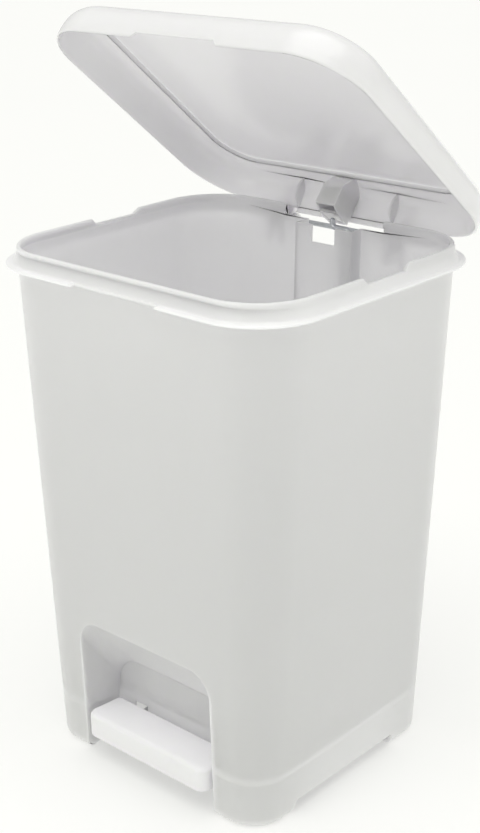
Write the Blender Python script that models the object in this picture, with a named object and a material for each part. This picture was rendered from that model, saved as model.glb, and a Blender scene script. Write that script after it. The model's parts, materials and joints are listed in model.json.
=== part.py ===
"""Pedal trash can: a tapered white plastic bin with a hinged lid, a steel push rod in a rear groove
and a foot pedal in a front recess. The lid is modelled standing open with the pedal held down."""

import math

import bmesh
import bpy
from mathutils import Matrix, Vector

# ---------------------------------------------------------------------------
# Driving dimensions, metres. Front faces -Y, the hinge is at the rear, Z is up.
# ---------------------------------------------------------------------------
RIM_HEIGHT = 0.450          # floor to the top edge of the rim
LIP_BOTTOM = 0.434          # underside of the outward lip
WALL = 0.0022               # moulded wall thickness
FLOOR_UNDER = 0.041         # underside of the raised floor
FLOOR_TOP = 0.0435

BASE_WIDTH = 0.248          # outside of the wall at the ground
BASE_DEPTH = 0.2307
BASE_RADIUS = 0.031
BASE_OFFSET = -0.0044       # the front wall is steeper than the rear wall
TOP_WIDTH = 0.296           # outside of the wall under the lip
TOP_DEPTH = 0.2574
TOP_RADIUS = 0.049

LIP_WIDTH = 0.3133
LIP_DEPTH = 0.2767
LIP_THICK = 0.0024
LIP_RADIUS = 0.0564
BAND_WIDTH = 0.3062         # rim band just above the lip, flared beyond the wall
BAND_DEPTH = 0.2616
BAND_RADIUS = 0.0535
BEAD_WIDTH = 0.2891         # inner edge of the rolled rim
BEAD_DEPTH = 0.2531
BEAD_RADIUS = 0.048
BEAD = 0.0040

FOOT_HEIGHT = 0.011
FOOT_ROUND = 0.007
SKIRT_FRONT = -0.072        # the side skirt is raised between the feet
SKIRT_REAR = 0.058

RECESS_HALF = 0.076         # foot recess in the front wall
RECESS_TOP = 0.131
RECESS_CREASE = 0.075
RECESS_RADIUS = 0.022
RECESS_BACK_LOW = -0.0835   # back wall of the recess at the ground
RECESS_BACK_HIGH = -0.0765  # and at the crease

GROOVE_HALF = 0.0288        # rod groove, open to the rear
GROOVE_DEPTH = 0.0140
ROD_DEPTH = 0.0070
NOTCH_HALF = 0.054          # gap in the rear rim for the lid's pocket and fins
NOTCH_FLOOR = 0.440

LID_WIDTH = 0.3143
LID_DEPTH = 0.2700
LID_RADIUS = 0.0522
LID_OFFSET = 0.0011
LID_BOTTOM = 0.438          # lower edge of the closed lid
LID_RISE = 0.0326          # height of the flat top panel above that edge, at the rear
LID_LEAN = 0.13             # the lid is this much deeper at the front

HINGE_Y = 0.1454
HINGE_Z = 0.4311
LID_OPEN = math.radians(39.7)
EAR_RADIUS = 0.0056
WIRE_RADIUS = 0.00225
WIRE_HALF = 0.0800
RUN_GAP = 0.00008           # radial clearance of a turning fit
TOUCH_GAP = 0.0003          # gap between parts that rest on each other
EAR_INNER = 0.056           # body ears at 56-60 and 72-76, lid ear between them
EAR_THICK = 0.004
EAR_OUTER = 0.076

POCKET_HALF = 0.0105
POCKET_WALL = 0.0020
POCKET_FRONT = 0.1033
POCKET_REAR = 0.1310
POCKET_MOUTH = 0.4337
POCKET_LOW = 0.4289         # the side panels are deeper behind the front panel
POCKET_STEP = 0.1189
WEB_FRONT = 0.1130          # cross web that the rod pushes
WEB_REAR = 0.1268
WEB_LOW = 0.4300
WEB_TOP = 0.4330
APRON_LOW = 0.4340          # rear skirt between the fins, behind the rim notch
POCKET_CEILING = 0.4500
FIN_X = 0.0518
FIN_THICK = 0.0018

ROD_RADIUS = 0.0025
ROD_SIDE = 0.022            # the rod runs up beside the centre line and cranks across
ROD_TOP_SIDE = 0.003        # the tip stands a little off the centre line
ROD_TIP = 0.4467
ROD_CRANK = 0.4385
ROD_BEND = 0.0040
ROD_FOOT = 0.0270

PIVOT_Y = -0.025
PIVOT_Z = 0.030
AXLE_RADIUS = 0.0030
AXLE_HALF = 0.0750
ARM_X = 0.048
ARM_HALF = 0.0065
ARM_THICK = 0.0060
BAR_Z = 0.0355              # rear bar of the lever where it lifts the rod

TREAD_HALF = 0.0710
TREAD_FRONT = -0.1255
TREAD_REAR = -0.0845
TREAD_TOP_FRONT = 0.0425
TREAD_TOP_REAR = 0.0395
TREAD_BOTTOM = 0.0200
TREAD_RADIUS = 0.010
TREAD_WALL = 0.0025

CORNER_STEPS = 10
ROUND_STEPS = 32

# ---------------------------------------------------------------------------
# Scene reset and materials
# ---------------------------------------------------------------------------
for item in list(bpy.data.objects):
    bpy.data.objects.remove(item, do_unlink=True)


def material(name, colour, roughness, metallic):
    mat = bpy.data.materials.new(name)
    mat.use_nodes = True
    shader = mat.node_tree.nodes["Principled BSDF"]
    shader.inputs["Base Color"].default_value = (*colour, 1.0)
    shader.inputs["Roughness"].default_value = roughness
    shader.inputs["Metallic"].default_value = metallic
    mat.diffuse_color = (*colour, 1.0)
    return mat


WHITE = (0.80, 0.80, 0.79)
PALE = (0.76, 0.76, 0.78)
ZINC = (0.55, 0.57, 0.60)


# ---------------------------------------------------------------------------
# Mesh helpers
# ---------------------------------------------------------------------------
def new_object(name, mesh, mat=None, smooth=False):
    obj = bpy.data.objects.new(name, mesh)
    bpy.context.collection.objects.link(obj)
    if mat is not None:
        mesh.materials.append(mat)
    if smooth:
        mesh.shade_smooth()
        mesh.set_sharp_from_angle(angle=math.radians(32))
    return obj


def mesh_from(name, build):
    bm = bmesh.new()
    build(bm)
    bmesh.ops.recalc_face_normals(bm, faces=bm.faces[:])
    mesh = bpy.data.meshes.new(name)
    bm.to_mesh(mesh)
    bm.free()
    return mesh


def ring(width, depth, radius, centre_y, z, steps=CORNER_STEPS):
    """Rounded rectangle in plan, as a closed loop of points at height z."""
    points = []
    corners = ((1, 1, 0), (-1, 1, 90), (-1, -1, 180), (1, -1, 270))
    for sx, sy, start in corners:
        cx = sx * (width / 2 - radius)
        cy = sy * (depth / 2 - radius) + centre_y
        for k in range(steps + 1):
            a = math.radians(start + 90 * k / steps)
            points.append(Vector((cx + radius * math.cos(a), cy + radius * math.sin(a), z)))
    return points


def loft(name, rings):
    """Closed body through a list of equal loops, capped at both ends."""
    def build(bm):
        rows = [[bm.verts.new(p) for p in loop] for loop in rings]
        for low, high in zip(rows, rows[1:]):
            for k in range(len(low)):
                j = (k + 1) % len(low)
                bm.faces.new((low[k], low[j], high[j], high[k]))
        bm.faces.new(rows[0])
        bm.faces.new(rows[-1])
    return mesh_from(name, build)


def prism(name, outline, axis, low, high):
    """Outline of (a, b) pairs pushed from low to high along an axis.
    The pairs are (y, z) for X, (x, z) for Y and (x, y) for Z."""
    order = {"X": lambda a, b, c: (c, a, b), "Y": lambda a, b, c: (a, c, b), "Z": lambda a, b, c: (a, b, c)}
    place = order[axis]
    loops = [[Vector(place(a, b, c)) for a, b in outline] for c in (low, high)]
    return loft(name, loops)


def box(name, x0, x1, y0, y1, z0, z1):
    return prism(name, [(x0, y0), (x1, y0), (x1, y1), (x0, y1)], "Z", z0, z1)


def circle(cx, cy, radius, steps=ROUND_STEPS, start=0.0, sweep=math.tau):
    full = abs(sweep - math.tau) < 1e-9
    count = steps if full else steps + 1
    return [(cx + radius * math.cos(start + sweep * k / steps), cy + radius * math.sin(start + sweep * k / steps))
            for k in range(count)]


def turned(name, axis, centre, profile, steps=ROUND_STEPS):
    """Turned body: profile of (along, radius) pairs about an axis through centre."""
    loops = []
    for along, radius in profile:
        loop = []
        for k in range(steps):
            a = math.tau * k / steps
            u, v = radius * math.cos(a), radius * math.sin(a)
            if axis == "X":
                loop.append(Vector((centre[0] + along, centre[1] + u, centre[2] + v)))
            elif axis == "Y":
                loop.append(Vector((centre[0] + u, centre[1] + along, centre[2] + v)))
            else:
                loop.append(Vector((centre[0] + u, centre[1] + v, centre[2] + along)))
        loops.append(loop)
    return loft(name, loops)


def pipe(name, points, radius, steps=20):
    """Round wire along a flat path of points in the XZ plane."""
    loops = []
    for k, point in enumerate(points):
        before = points[max(k - 1, 0)]
        after = points[min(k + 1, len(points) - 1)]
        along = (after - before).normalized()
        side = Vector((0, 1, 0))
        over = along.cross(side).normalized()
        turn_in = (point - before).normalized() if k else along
        stretch = 1.0 / max(along.dot(turn_in), 0.5)
        loops.append([point + side * radius * math.cos(math.tau * j / steps)
                      + over * radius * stretch * math.sin(math.tau * j / steps) for j in range(steps)])
    return loft(name, loops)


def tool(name, mesh, parent=None):
    """A guide or cutter: drawn as wire and never rendered."""
    obj = new_object(name, mesh)
    obj.hide_render = True
    obj.display_type = "WIRE"
    if parent is not None:
        obj.parent = parent
    return obj


def boolean(obj, operand, operation):
    mod = obj.modifiers.new(operand.name, "BOOLEAN")
    mod.operation = operation
    mod.solver = "EXACT"
    mod.object = operand
    return mod


def cut(obj, operand):
    return boolean(obj, operand, "DIFFERENCE")


def join(obj, operand):
    return boolean(obj, operand, "UNION")


def empty(name, location, rotation=(0, 0, 0)):
    obj = bpy.data.objects.new(name, None)
    bpy.context.collection.objects.link(obj)
    obj.location = location
    obj.rotation_euler = rotation
    return obj


# ---------------------------------------------------------------------------
# Frames that the pieces hang on
# ---------------------------------------------------------------------------
REAR_BASE_Y = BASE_OFFSET + BASE_DEPTH / 2
REAR_TOP_Y = TOP_DEPTH / 2
TILT = math.atan((REAR_TOP_Y - REAR_BASE_Y) / LIP_BOTTOM)

root = empty("bin_root", (0, 0, 0))
rear_plane = empty("rear_plane", (0, REAR_BASE_Y, 0), (-TILT, 0, 0))
lid_axis = empty("lid_axis", (0, HINGE_Y, HINGE_Z), (-LID_OPEN, 0, 0))
pedal_axis = empty("pedal_axis", (0, PIVOT_Y, PIVOT_Z))
for frame in (rear_plane, lid_axis, pedal_axis):
    frame.parent = root


def hang(obj, parent, shift=(0, 0, 0)):
    obj.parent = parent
    obj.location = shift
    return obj


def on_lid(obj):
    """The lid's pieces are drawn closed, then turned open about the hinge."""
    return hang(obj, lid_axis, (0, -HINGE_Y, -HINGE_Z))


def on_pedal(obj):
    return hang(obj, pedal_axis, (0, -PIVOT_Y, -PIVOT_Z))


# ---------------------------------------------------------------------------
# Bin body
# ---------------------------------------------------------------------------
def wall_ring(z, inset=0.0):
    t = z / LIP_BOTTOM
    width = BASE_WIDTH + (TOP_WIDTH - BASE_WIDTH) * t - 2 * inset
    depth = BASE_DEPTH + (TOP_DEPTH - BASE_DEPTH) * t - 2 * inset
    radius = BASE_RADIUS + (TOP_RADIUS - BASE_RADIUS) * t - inset
    return ring(width, depth, max(radius, 0.004), BASE_OFFSET * (1 - t), z)


def front_wall_y(z):
    t = z / LIP_BOTTOM
    return BASE_OFFSET * (1 - t) - (BASE_DEPTH + (TOP_DEPTH - BASE_DEPTH) * t) / 2


def foot_rings(inset):
    rings = []
    for k in range(4):
        a = math.radians(30 * k)
        rings.append(wall_ring(FOOT_ROUND * (1 - math.cos(a)), inset + FOOT_ROUND * (1 - math.sin(a))))
    return rings


def bead_ring(grow, z):
    """Loop of the rolled top edge, grown outwards from its inner edge."""
    return ring(BEAD_WIDTH + 2 * grow, BEAD_DEPTH + 2 * grow, BEAD_RADIUS + grow, 0.0, z)


def band_ring(grow, z):
    return ring(BAND_WIDTH + 2 * grow, BAND_DEPTH + 2 * grow, BAND_RADIUS + grow, 0.0, z)


def lip_ring(inset, z):
    return ring(LIP_WIDTH - 2 * inset, LIP_DEPTH - 2 * inset, LIP_RADIUS - inset, 0.0, z)


lip_top = LIP_BOTTOM + LIP_THICK
outer = foot_rings(0.0)
outer += [wall_ring(0.060), wall_ring(0.200), wall_ring(0.330), wall_ring(LIP_BOTTOM)]
outer += [lip_ring(0.0005, LIP_BOTTOM), lip_ring(0.0, LIP_BOTTOM + 0.0005), lip_ring(0.0, lip_top - 0.0008)]
outer += [lip_ring(0.0008, lip_top), band_ring(0.0010, lip_top + 0.0003), band_ring(0.0, lip_top + 0.0016)]
outer += [wall_ring(0.4470, -0.0002), bead_ring(BEAD - 0.0001, 0.4488)]
outer += [bead_ring(BEAD - 0.0012, RIM_HEIGHT), bead_ring(0.0010, RIM_HEIGHT), bead_ring(0.0, 0.4490)]
outer += [bead_ring(0.0, 0.4455), wall_ring(0.4415, WALL)]
outer += [wall_ring(0.330, WALL), wall_ring(0.200, WALL), wall_ring(0.060, WALL)]
outer += [wall_ring(FLOOR_TOP + 0.005, WALL), wall_ring(FLOOR_TOP + 0.0015, WALL + 0.0015)]
outer += [wall_ring(FLOOR_TOP, WALL + 0.005)]

body_white = material("body_white", WHITE, 0.28, 0.0)
body = new_object("bin_body", loft("bin_body", outer), body_white)
body.parent = root

# space under the raised floor, with a closed pad left in each foot
hollow_rings = [wall_ring(0.0025, 0.0078), wall_ring(0.0045, 0.0045), wall_ring(0.0080, WALL + 0.0003)]
hollow_rings += [wall_ring(FLOOR_UNDER, WALL)]
under_hollow = tool("under_hollow", loft("under_hollow", hollow_rings), root)
cut(body, under_hollow)

ramp = 0.004
side_outline = [(SKIRT_FRONT - ramp, -0.001), (SKIRT_FRONT, FOOT_HEIGHT)]
side_outline += [(SKIRT_REAR, FOOT_HEIGHT), (SKIRT_REAR, -0.001)]
side_arch = tool("side_arch", prism("side_arch", side_outline, "X", -0.16, 0.16), root)
cut(body, side_arch)
front_arch = tool("front_arch", box("front_arch", -RECESS_HALF, RECESS_HALF, -0.16, 0.16, -0.001, FOOT_HEIGHT), root)
cut(body, front_arch)


def arch_outline(half, low, top, radius, steps=8):
    points = [(-half, low)]
    points += circle(-half + radius, top - radius, radius, steps, math.pi, -math.pi / 2)
    points += circle(half - radius, top - radius, radius, steps, math.pi / 2, -math.pi / 2)
    points += [(half, low)]
    return points


def recess_rings(grow, low):
    """Loops of the foot recess from the front to its leaning back wall."""
    half = RECESS_HALF + grow
    radius = RECESS_RADIUS + grow
    loops = []
    stops = ((-0.150, RECESS_TOP), (-0.1225, RECESS_TOP), (RECESS_BACK_HIGH, RECESS_CREASE))
    for y, top in stops:
        loops.append([Vector((x, y, z)) for x, z in arch_outline(half, low, top + grow, radius)])
    slope = (RECESS_BACK_HIGH - RECESS_BACK_LOW) / RECESS_CREASE
    for point in loops[-1]:
        point.y = RECESS_BACK_HIGH + grow + slope * (point.z - grow - RECESS_CREASE)
    return loops


shell_guide = tool("shell_guide", loft("shell_guide", foot_rings(0.0011) + [wall_ring(0.200, 0.0011)]), root)
recess_shell = tool("recess_shell", loft("recess_shell", recess_rings(WALL, 0.0)), root)
boolean(recess_shell, shell_guide, "INTERSECT")
join(body, recess_shell)
recess_space = tool("recess_space", loft("recess_space", recess_rings(0.0, -0.001)), root)
cut(body, recess_space)
lower_gap = tool("lower_gap", box("lower_gap", -RECESS_HALF, RECESS_HALF, -0.090, -0.070, -0.001, FOOT_HEIGHT), root)
cut(body, lower_gap)
for side, label in ((-1, "left"), (1, "right")):
    centre = side * ARM_X
    slot = box("arm_slot_" + label, centre - 0.0078, centre + 0.0078, -0.090, -0.070, 0.005, 0.0375)
    cut(body, tool("arm_slot_" + label, slot, root))

# rod groove in the rear wall, closed towards the inside of the bin
groove_shell = box("groove_shell", -GROOVE_HALF - WALL, GROOVE_HALF + WALL,
                   -GROOVE_DEPTH - WALL, -0.0011, 0.0415, NOTCH_FLOOR + 0.0004)
groove_shell = tool("groove_shell", groove_shell, rear_plane)
join(body, groove_shell)
groove_space = box("groove_space", -GROOVE_HALF, GROOVE_HALF, -GROOVE_DEPTH, 0.006, -0.010, 0.460)
cut(body, tool("groove_space", groove_space, rear_plane))

# rear rim notch for the lid's pocket and fins
notch_band = box("notch_band", -NOTCH_HALF, NOTCH_HALF, 0.1291, 0.1500, 0.4300, 0.4600)
cut(body, tool("notch_band", notch_band, root))
notch_wall = box("notch_wall", -NOTCH_HALF, NOTCH_HALF, 0.1000, 0.1400, NOTCH_FLOOR, 0.4600)
cut(body, tool("notch_wall", notch_wall, root))
pocket_port = box("pocket_port", -0.0125, 0.0125, 0.1080, 0.1190, 0.4250, 0.4600)
cut(body, tool("pocket_port", pocket_port, root))

# dips in the side rims and the finger gap in the front lip
dip_outline = [(-0.0220, 0.4515), (-0.0170, 0.4448), (0.0290, 0.4448), (0.0380, 0.4515)]
cut(body, tool("rim_dips", prism("rim_dips", dip_outline, "X", -0.17, 0.17), root))
finger_gap = box("finger_gap", -0.046, 0.046, -0.150, -0.1322, 0.4330, 0.4385)
cut(body, tool("finger_gap", finger_gap, root))

# hinge ears under the rear lip
ear_outline = [(0.1275, 0.4085), (0.1478, 0.4262)]
ear_outline += circle(HINGE_Y, HINGE_Z, EAR_RADIUS, 14, math.radians(-64), math.radians(214))
ear_outline += [(0.1385, 0.4348), (0.1275, 0.4348)]
ear_spans = []
for side in (-1, 1):
    for x in (EAR_INNER, EAR_OUTER - EAR_THICK):
        ear_spans.append(sorted((side * x, side * (x + EAR_THICK))))
for k, (x0, x1) in enumerate(ear_spans):
    join(body, tool("body_ear_%d" % k, prism("body_ear_%d" % k, ear_outline, "X", x0, x1), root))

# blocks under the floor that the lever's axle turns in
BLOCK_IN, BLOCK_OUT, BLOCK_HALF = 0.058, 0.071, 0.0155
for side, label in ((-1, "left"), (1, "right")):
    x0, x1 = sorted((side * BLOCK_IN, side * BLOCK_OUT))
    block = box("axle_block_" + label, x0, x1, PIVOT_Y - BLOCK_HALF, PIVOT_Y + BLOCK_HALF,
                PIVOT_Z + TOUCH_GAP / 2, FLOOR_UNDER + 0.0008)
    join(body, tool("axle_block_" + label, block, root))

axle_bore = tool("axle_bore", turned("axle_bore", "X", (0, PIVOT_Y, PIVOT_Z),
                                     [(-0.09, AXLE_RADIUS + RUN_GAP), (0.09, AXLE_RADIUS + RUN_GAP)]), root)
cut(body, axle_bore)
wire_bore = tool("wire_bore", turned("wire_bore", "X", (0, HINGE_Y, HINGE_Z),
                                     [(-0.09, WIRE_RADIUS + RUN_GAP), (0.09, WIRE_RADIUS + RUN_GAP)]), root)
cut(body, wire_bore)

# screw holes
SCREW_R = 0.0020
SCREW_GAP = 0.0001
BLOCK_SCREW_Y = 0.0102
bracket_screws = []
for side, label in ((-1, "left"), (1, "right")):
    x = side * (BLOCK_IN + BLOCK_OUT) / 2
    for shift, end in ((-BLOCK_SCREW_Y, "front"), (BLOCK_SCREW_Y, "rear")):
        bracket_screws.append((label, end, x, PIVOT_Y + shift))
        hole = turned("block_hole_%s_%s" % (label, end), "Z", (x, PIVOT_Y + shift, 0),
                      [(0.010, SCREW_R + SCREW_GAP), (0.0398, SCREW_R + SCREW_GAP)], 20)
        cut(body, tool("block_hole_%s_%s" % (label, end), hole, root))

CLIP_Z = {"lower": 0.130, "upper": 0.330}
CLIP_SCREW_X = 0.0085
for label, z in CLIP_Z.items():
    hole = turned("clip_hole_" + label, "Y", (CLIP_SCREW_X, 0, z),
                  [(-0.030, SCREW_R + SCREW_GAP), (0.010, SCREW_R + SCREW_GAP)], 20)
    cut(body, tool("clip_hole_" + label, hole, rear_plane))

# ---------------------------------------------------------------------------
# Lid, drawn closed
# ---------------------------------------------------------------------------
def lid_ring(inset, rise, shrink=0.80):
    """Loop of the lid, pulled in from its lower edge and raised above it."""
    loop = ring(LID_WIDTH - 2 * inset, LID_DEPTH - 2 * inset, LID_RADIUS - inset * shrink, LID_OFFSET, 0.0)
    rear = LID_OFFSET + LID_DEPTH / 2
    for point in loop:
        point.z = LID_BOTTOM + rise * (1 + LID_LEAN * (rear - point.y) / LID_DEPTH)
    return loop


crown = ((0.0, 0.0), (0.0004, 0.0090), (0.0018, 0.0155), (0.0048, 0.0212), (0.0095, 0.0258),
         (0.0160, 0.0290), (0.0225, 0.0305), (0.0272, 0.0311))
SKIN = 0.0022
RIB_INSET = 0.0228
RIB_DEPTH = 0.0024
under = crown[-1][1] - SKIN
lid_rings = [lid_ring(RIB_INSET + 0.0015, LID_RISE - SKIN), lid_ring(RIB_INSET + 0.0015, under - RIB_DEPTH)]
lid_rings += [lid_ring(RIB_INSET, under - RIB_DEPTH), lid_ring(RIB_INSET, under)]
for inset, rise in ((0.0205, 0.0278), (0.0172, 0.0268), (0.0112, 0.0239), (0.0067, 0.0199),
                    (0.0040, 0.0148), (0.0026, 0.0088), (SKIN, 0.0)):
    lid_rings.append(lid_ring(inset, rise))
lid_rings += [lid_ring(inset, rise) for inset, rise in crown]
lid_rings += [lid_ring(0.0288, LID_RISE)]

lid_white = material("lid_white", WHITE, 0.24, 0.0)
lid = new_object("lid", loft("lid", lid_rings), lid_white)
on_lid(lid)


def lid_tool(name, mesh):
    return on_lid(tool(name, mesh))


pocket_outline = [(POCKET_FRONT, POCKET_MOUTH), (POCKET_FRONT, 0.4526), (0.1108, 0.4630), (0.1180, 0.4680)]
pocket_outline += [(POCKET_REAR, 0.4600), (POCKET_REAR, POCKET_LOW), (POCKET_STEP, POCKET_LOW)]
pocket_block = prism("pocket_block", pocket_outline, "X", -POCKET_HALF, POCKET_HALF)
join(lid, lid_tool("pocket_block", pocket_block))
inner = POCKET_HALF - POCKET_WALL
pocket_space = box("pocket_space", -inner, inner, POCKET_FRONT + POCKET_WALL, POCKET_REAR - POCKET_WALL,
                   0.4200, POCKET_CEILING)
cut(lid, lid_tool("pocket_space", pocket_space))
pocket_web = box("pocket_web", -inner - 0.0010, inner + 0.0010, WEB_FRONT, WEB_REAR, WEB_LOW, WEB_TOP)
join(lid, lid_tool("pocket_web", pocket_web))
apron_half = FIN_X + FIN_THICK / 2 - 0.0003
apron = box("rear_apron", -apron_half, apron_half, 0.1341, 0.1358, APRON_LOW, 0.4420)
join(lid, lid_tool("rear_apron", apron))

fin_outline = [(0.1240, 0.4640), (0.1222, 0.4590), (0.1213, 0.4545), (0.1216, 0.4500), (0.1235, 0.4455)]
fin_outline += [(0.1270, 0.4420), (0.1320, 0.4395), (0.1350, 0.4385), (0.1333, 0.4530), (0.1302, 0.4590)]
for side, label in ((-1, "left"), (1, "right")):
    x = side * FIN_X
    fin = prism("fin_" + label, fin_outline, "X", x - FIN_THICK / 2, x + FIN_THICK / 2)
    join(lid, lid_tool("fin_" + label, fin))

lid_ear_outline = [(0.1350, 0.4402), (0.1391, 0.4385), (HINGE_Y - EAR_RADIUS, HINGE_Z + 0.0010)]
lid_ear_outline += circle(HINGE_Y, HINGE_Z, EAR_RADIUS, 14, math.radians(180), math.radians(200))
lid_ear_outline += [(0.1450, 0.4490), (0.1330, 0.4580)]
lid_ear_in = EAR_INNER + EAR_THICK + 0.0004
lid_ear_out = EAR_OUTER - EAR_THICK - 0.0004
for side, label in ((-1, "left"), (1, "right")):
    x0, x1 = sorted((side * lid_ear_in, side * lid_ear_out))
    join(lid, lid_tool("lid_ear_" + label, prism("lid_ear_" + label, lid_ear_outline, "X", x0, x1)))
lid_bore = turned("lid_bore", "X", (0, HINGE_Y, HINGE_Z),
                  [(-0.09, WIRE_RADIUS + RUN_GAP), (0.09, WIRE_RADIUS + RUN_GAP)])
cut(lid, lid_tool("lid_bore", lid_bore))

thumb_outline = [(-0.0450, 0.4370), (-0.0400, 0.4422), (0.0400, 0.4422), (0.0450, 0.4370)]
thumb = prism("thumb_gap", thumb_outline, "Y", -0.150, -0.120)
cut(lid, lid_tool("thumb_gap", thumb))

# ---------------------------------------------------------------------------
# Hinge wire with a push-on cap at each end
# ---------------------------------------------------------------------------
zinc = material("zinc_wire", ZINC, 0.32, 1.0)
end = 0.0006
wire_profile = [(-WIRE_HALF, WIRE_RADIUS - end), (-WIRE_HALF + end, WIRE_RADIUS)]
wire_profile += [(WIRE_HALF - end, WIRE_RADIUS), (WIRE_HALF, WIRE_RADIUS - end)]
wire = new_object("hinge_wire", turned("hinge_wire", "X", (0, 0, 0), wire_profile), zinc, True)
hang(wire, root, (0, HINGE_Y, HINGE_Z))


def cap_mesh(name, bore, outer_radius, depth, side, steps=ROUND_STEPS):
    """Domed cap with a blind bore, opening towards -side along X."""
    profile = [(0.0020, 0.00005), (0.0020, bore), (0.0, bore), (0.0, outer_radius)]
    profile += [(depth * 0.55, outer_radius), (depth * 0.85, outer_radius * 0.78), (depth, outer_radius * 0.42)]
    return turned(name, "X", (0, 0, 0), [(side * a, r) for a, r in profile], steps)


cap_zinc = material("cap_zinc", ZINC, 0.38, 1.0)
for side, label in ((-1, "left"), (1, "right")):
    cap = cap_mesh("hinge_cap_" + label, WIRE_RADIUS + SCREW_GAP, 0.0048, 0.0046, side)
    cap = new_object("hinge_cap_" + label, cap, cap_zinc, True)
    hang(cap, root, (side * (WIRE_HALF - 0.0015), HINGE_Y, HINGE_Z))

# ---------------------------------------------------------------------------
# Push rod: up the groove beside the centre, across, and up into the lid's pocket
# ---------------------------------------------------------------------------
def crank_path():
    points = [Vector((ROD_SIDE, 0, ROD_FOOT)), Vector((ROD_SIDE, 0, ROD_FOOT + 0.0006))]
    points += [Vector((ROD_SIDE, 0, 0.150)), Vector((ROD_SIDE, 0, 0.300))]
    for x, z in circle(ROD_SIDE - ROD_BEND, ROD_CRANK - ROD_BEND, ROD_BEND, 6, 0.0, math.pi / 2):
        points.append(Vector((x, 0, z)))
    for x, z in circle(ROD_TOP_SIDE + ROD_BEND, ROD_CRANK + ROD_BEND, ROD_BEND, 6, math.pi * 1.5, -math.pi / 2):
        points.append(Vector((x, 0, z)))
    points += [Vector((ROD_TOP_SIDE, 0, ROD_TIP - 0.0020))]
    return points


rod_mesh = pipe("push_rod", crank_path(), ROD_RADIUS)


bm = bmesh.new()
bm.from_mesh(rod_mesh)
top_face = max((f for f in bm.faces if len(f.verts) > 4), key=lambda f: f.calc_center_median().z)
axis_point = top_face.calc_center_median()
for rise, scale in ((0.0013, 0.80), (0.0020, 0.42)):
    grown = bmesh.ops.extrude_face_region(bm, geom=[top_face])
    bmesh.ops.delete(bm, geom=[top_face], context="FACES_ONLY")
    top_face = [g for g in grown["geom"] if isinstance(g, bmesh.types.BMFace)][0]
    for v in top_face.verts:
        flat = Vector((v.co.x - axis_point.x, v.co.y - axis_point.y, 0)).normalized()
        v.co = Vector((axis_point.x, axis_point.y, axis_point.z + rise)) + flat * ROD_RADIUS * scale
bmesh.ops.recalc_face_normals(bm, faces=bm.faces[:])
bm.to_mesh(rod_mesh)
bm.free()

rod_zinc = material("rod_zinc", ZINC, 0.30, 1.0)
rod = new_object("push_rod", rod_mesh, rod_zinc, True)
hang(rod, rear_plane, (0, -ROD_DEPTH, 0))


def washer(name, bore, radius, z0, z1, mat, chamfer=0.0004):
    def build(bm):
        loops = [(bore, z0), (radius - chamfer, z0), (radius, z0 + chamfer)]
        loops += [(radius, z1 - chamfer), (radius - chamfer, z1), (bore, z1)]
        rows = []
        for r, z in loops:
            rows.append([bm.verts.new((r * math.cos(math.tau * k / ROUND_STEPS),
                                       r * math.sin(math.tau * k / ROUND_STEPS), z)) for k in range(ROUND_STEPS)])
        for low, high in zip(rows, rows[1:] + rows[:1]):
            for k in range(ROUND_STEPS):
                j = (k + 1) % ROUND_STEPS
                bm.faces.new((low[k], low[j], high[j], high[k]))
    return new_object(name, mesh_from(name, build), mat, True)


bar_top = BAR_Z + ARM_THICK / 2 - 0.0003
bar_bottom = BAR_Z - ARM_THICK / 2 + 0.0003
collar_zinc = material("collar_zinc", ZINC, 0.42, 1.0)


def groove_height(z):
    """Distance along the leaning groove at which the rod's axis is at height z."""
    return (z - ROD_DEPTH * math.sin(TILT)) / math.cos(TILT)


collar = washer("rod_collar", ROD_RADIUS + SCREW_GAP, 0.0056, 0.0, 0.0035, collar_zinc)
hang(collar, rear_plane, (ROD_SIDE, -ROD_DEPTH, groove_height(bar_top + 0.0008)))
keeper = washer("rod_keeper", ROD_RADIUS + SCREW_GAP, 0.0056, 0.0, 0.0020, collar_zinc)
hang(keeper, rear_plane, (ROD_SIDE, -ROD_DEPTH, groove_height(bar_bottom - 0.0008 - 0.0020)))

# guide clips that hold the rod in the groove
clip_white = material("clip_white", PALE, 0.40, 0.0)
screw_zinc = material("screw_zinc", ZINC, 0.35, 1.0)


def screw_mesh(name, axis, sign, shank, head_radius=0.0038, radius=SCREW_R):
    """Pan-head screw: head at the origin on the -sign side, shank along the axis."""
    profile = [(-0.0022, head_radius * 0.45), (-0.0018, head_radius * 0.80), (-0.0009, head_radius)]
    profile += [(0.0, head_radius), (0.0, radius), (shank - 0.0015, radius), (shank, radius * 0.4)]
    return turned(name, axis, (0, 0, 0), [(sign * a, r) for a, r in profile], 20)


for label, z in CLIP_Z.items():
    back = -GROOVE_DEPTH + TOUCH_GAP
    outline = [(0.0020, back), (0.0282, back), (0.0282, -0.0025), (0.0265, -0.0008)]
    outline += [(0.0165, -0.0008), (0.0145, -0.0025), (0.0145, -0.0092), (0.0020, -0.0092)]
    clip = prism("rod_clip_" + label, outline, "Z", z - 0.006, z + 0.006)
    clip = new_object("rod_clip_" + label, clip, clip_white)
    hang(clip, rear_plane)
    bore = turned("clip_bore_" + label, "Z", (ROD_SIDE, -ROD_DEPTH, z),
                  [(-0.02, ROD_RADIUS + RUN_GAP), (0.02, ROD_RADIUS + RUN_GAP)])
    cut(clip, tool("clip_bore_" + label, bore, rear_plane))
    hole = turned("clip_way_" + label, "Y", (CLIP_SCREW_X, 0, z),
                  [(-0.030, SCREW_R + SCREW_GAP), (0.010, SCREW_R + SCREW_GAP)], 20)
    cut(clip, tool("clip_way_" + label, hole, rear_plane))
    screw = screw_mesh("clip_screw_" + label, "Y", -1, 0.0068)
    screw = new_object("clip_screw_" + label, screw, screw_zinc, True)
    hang(screw, rear_plane, (CLIP_SCREW_X, -0.0092 + TOUCH_GAP, z))

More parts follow.
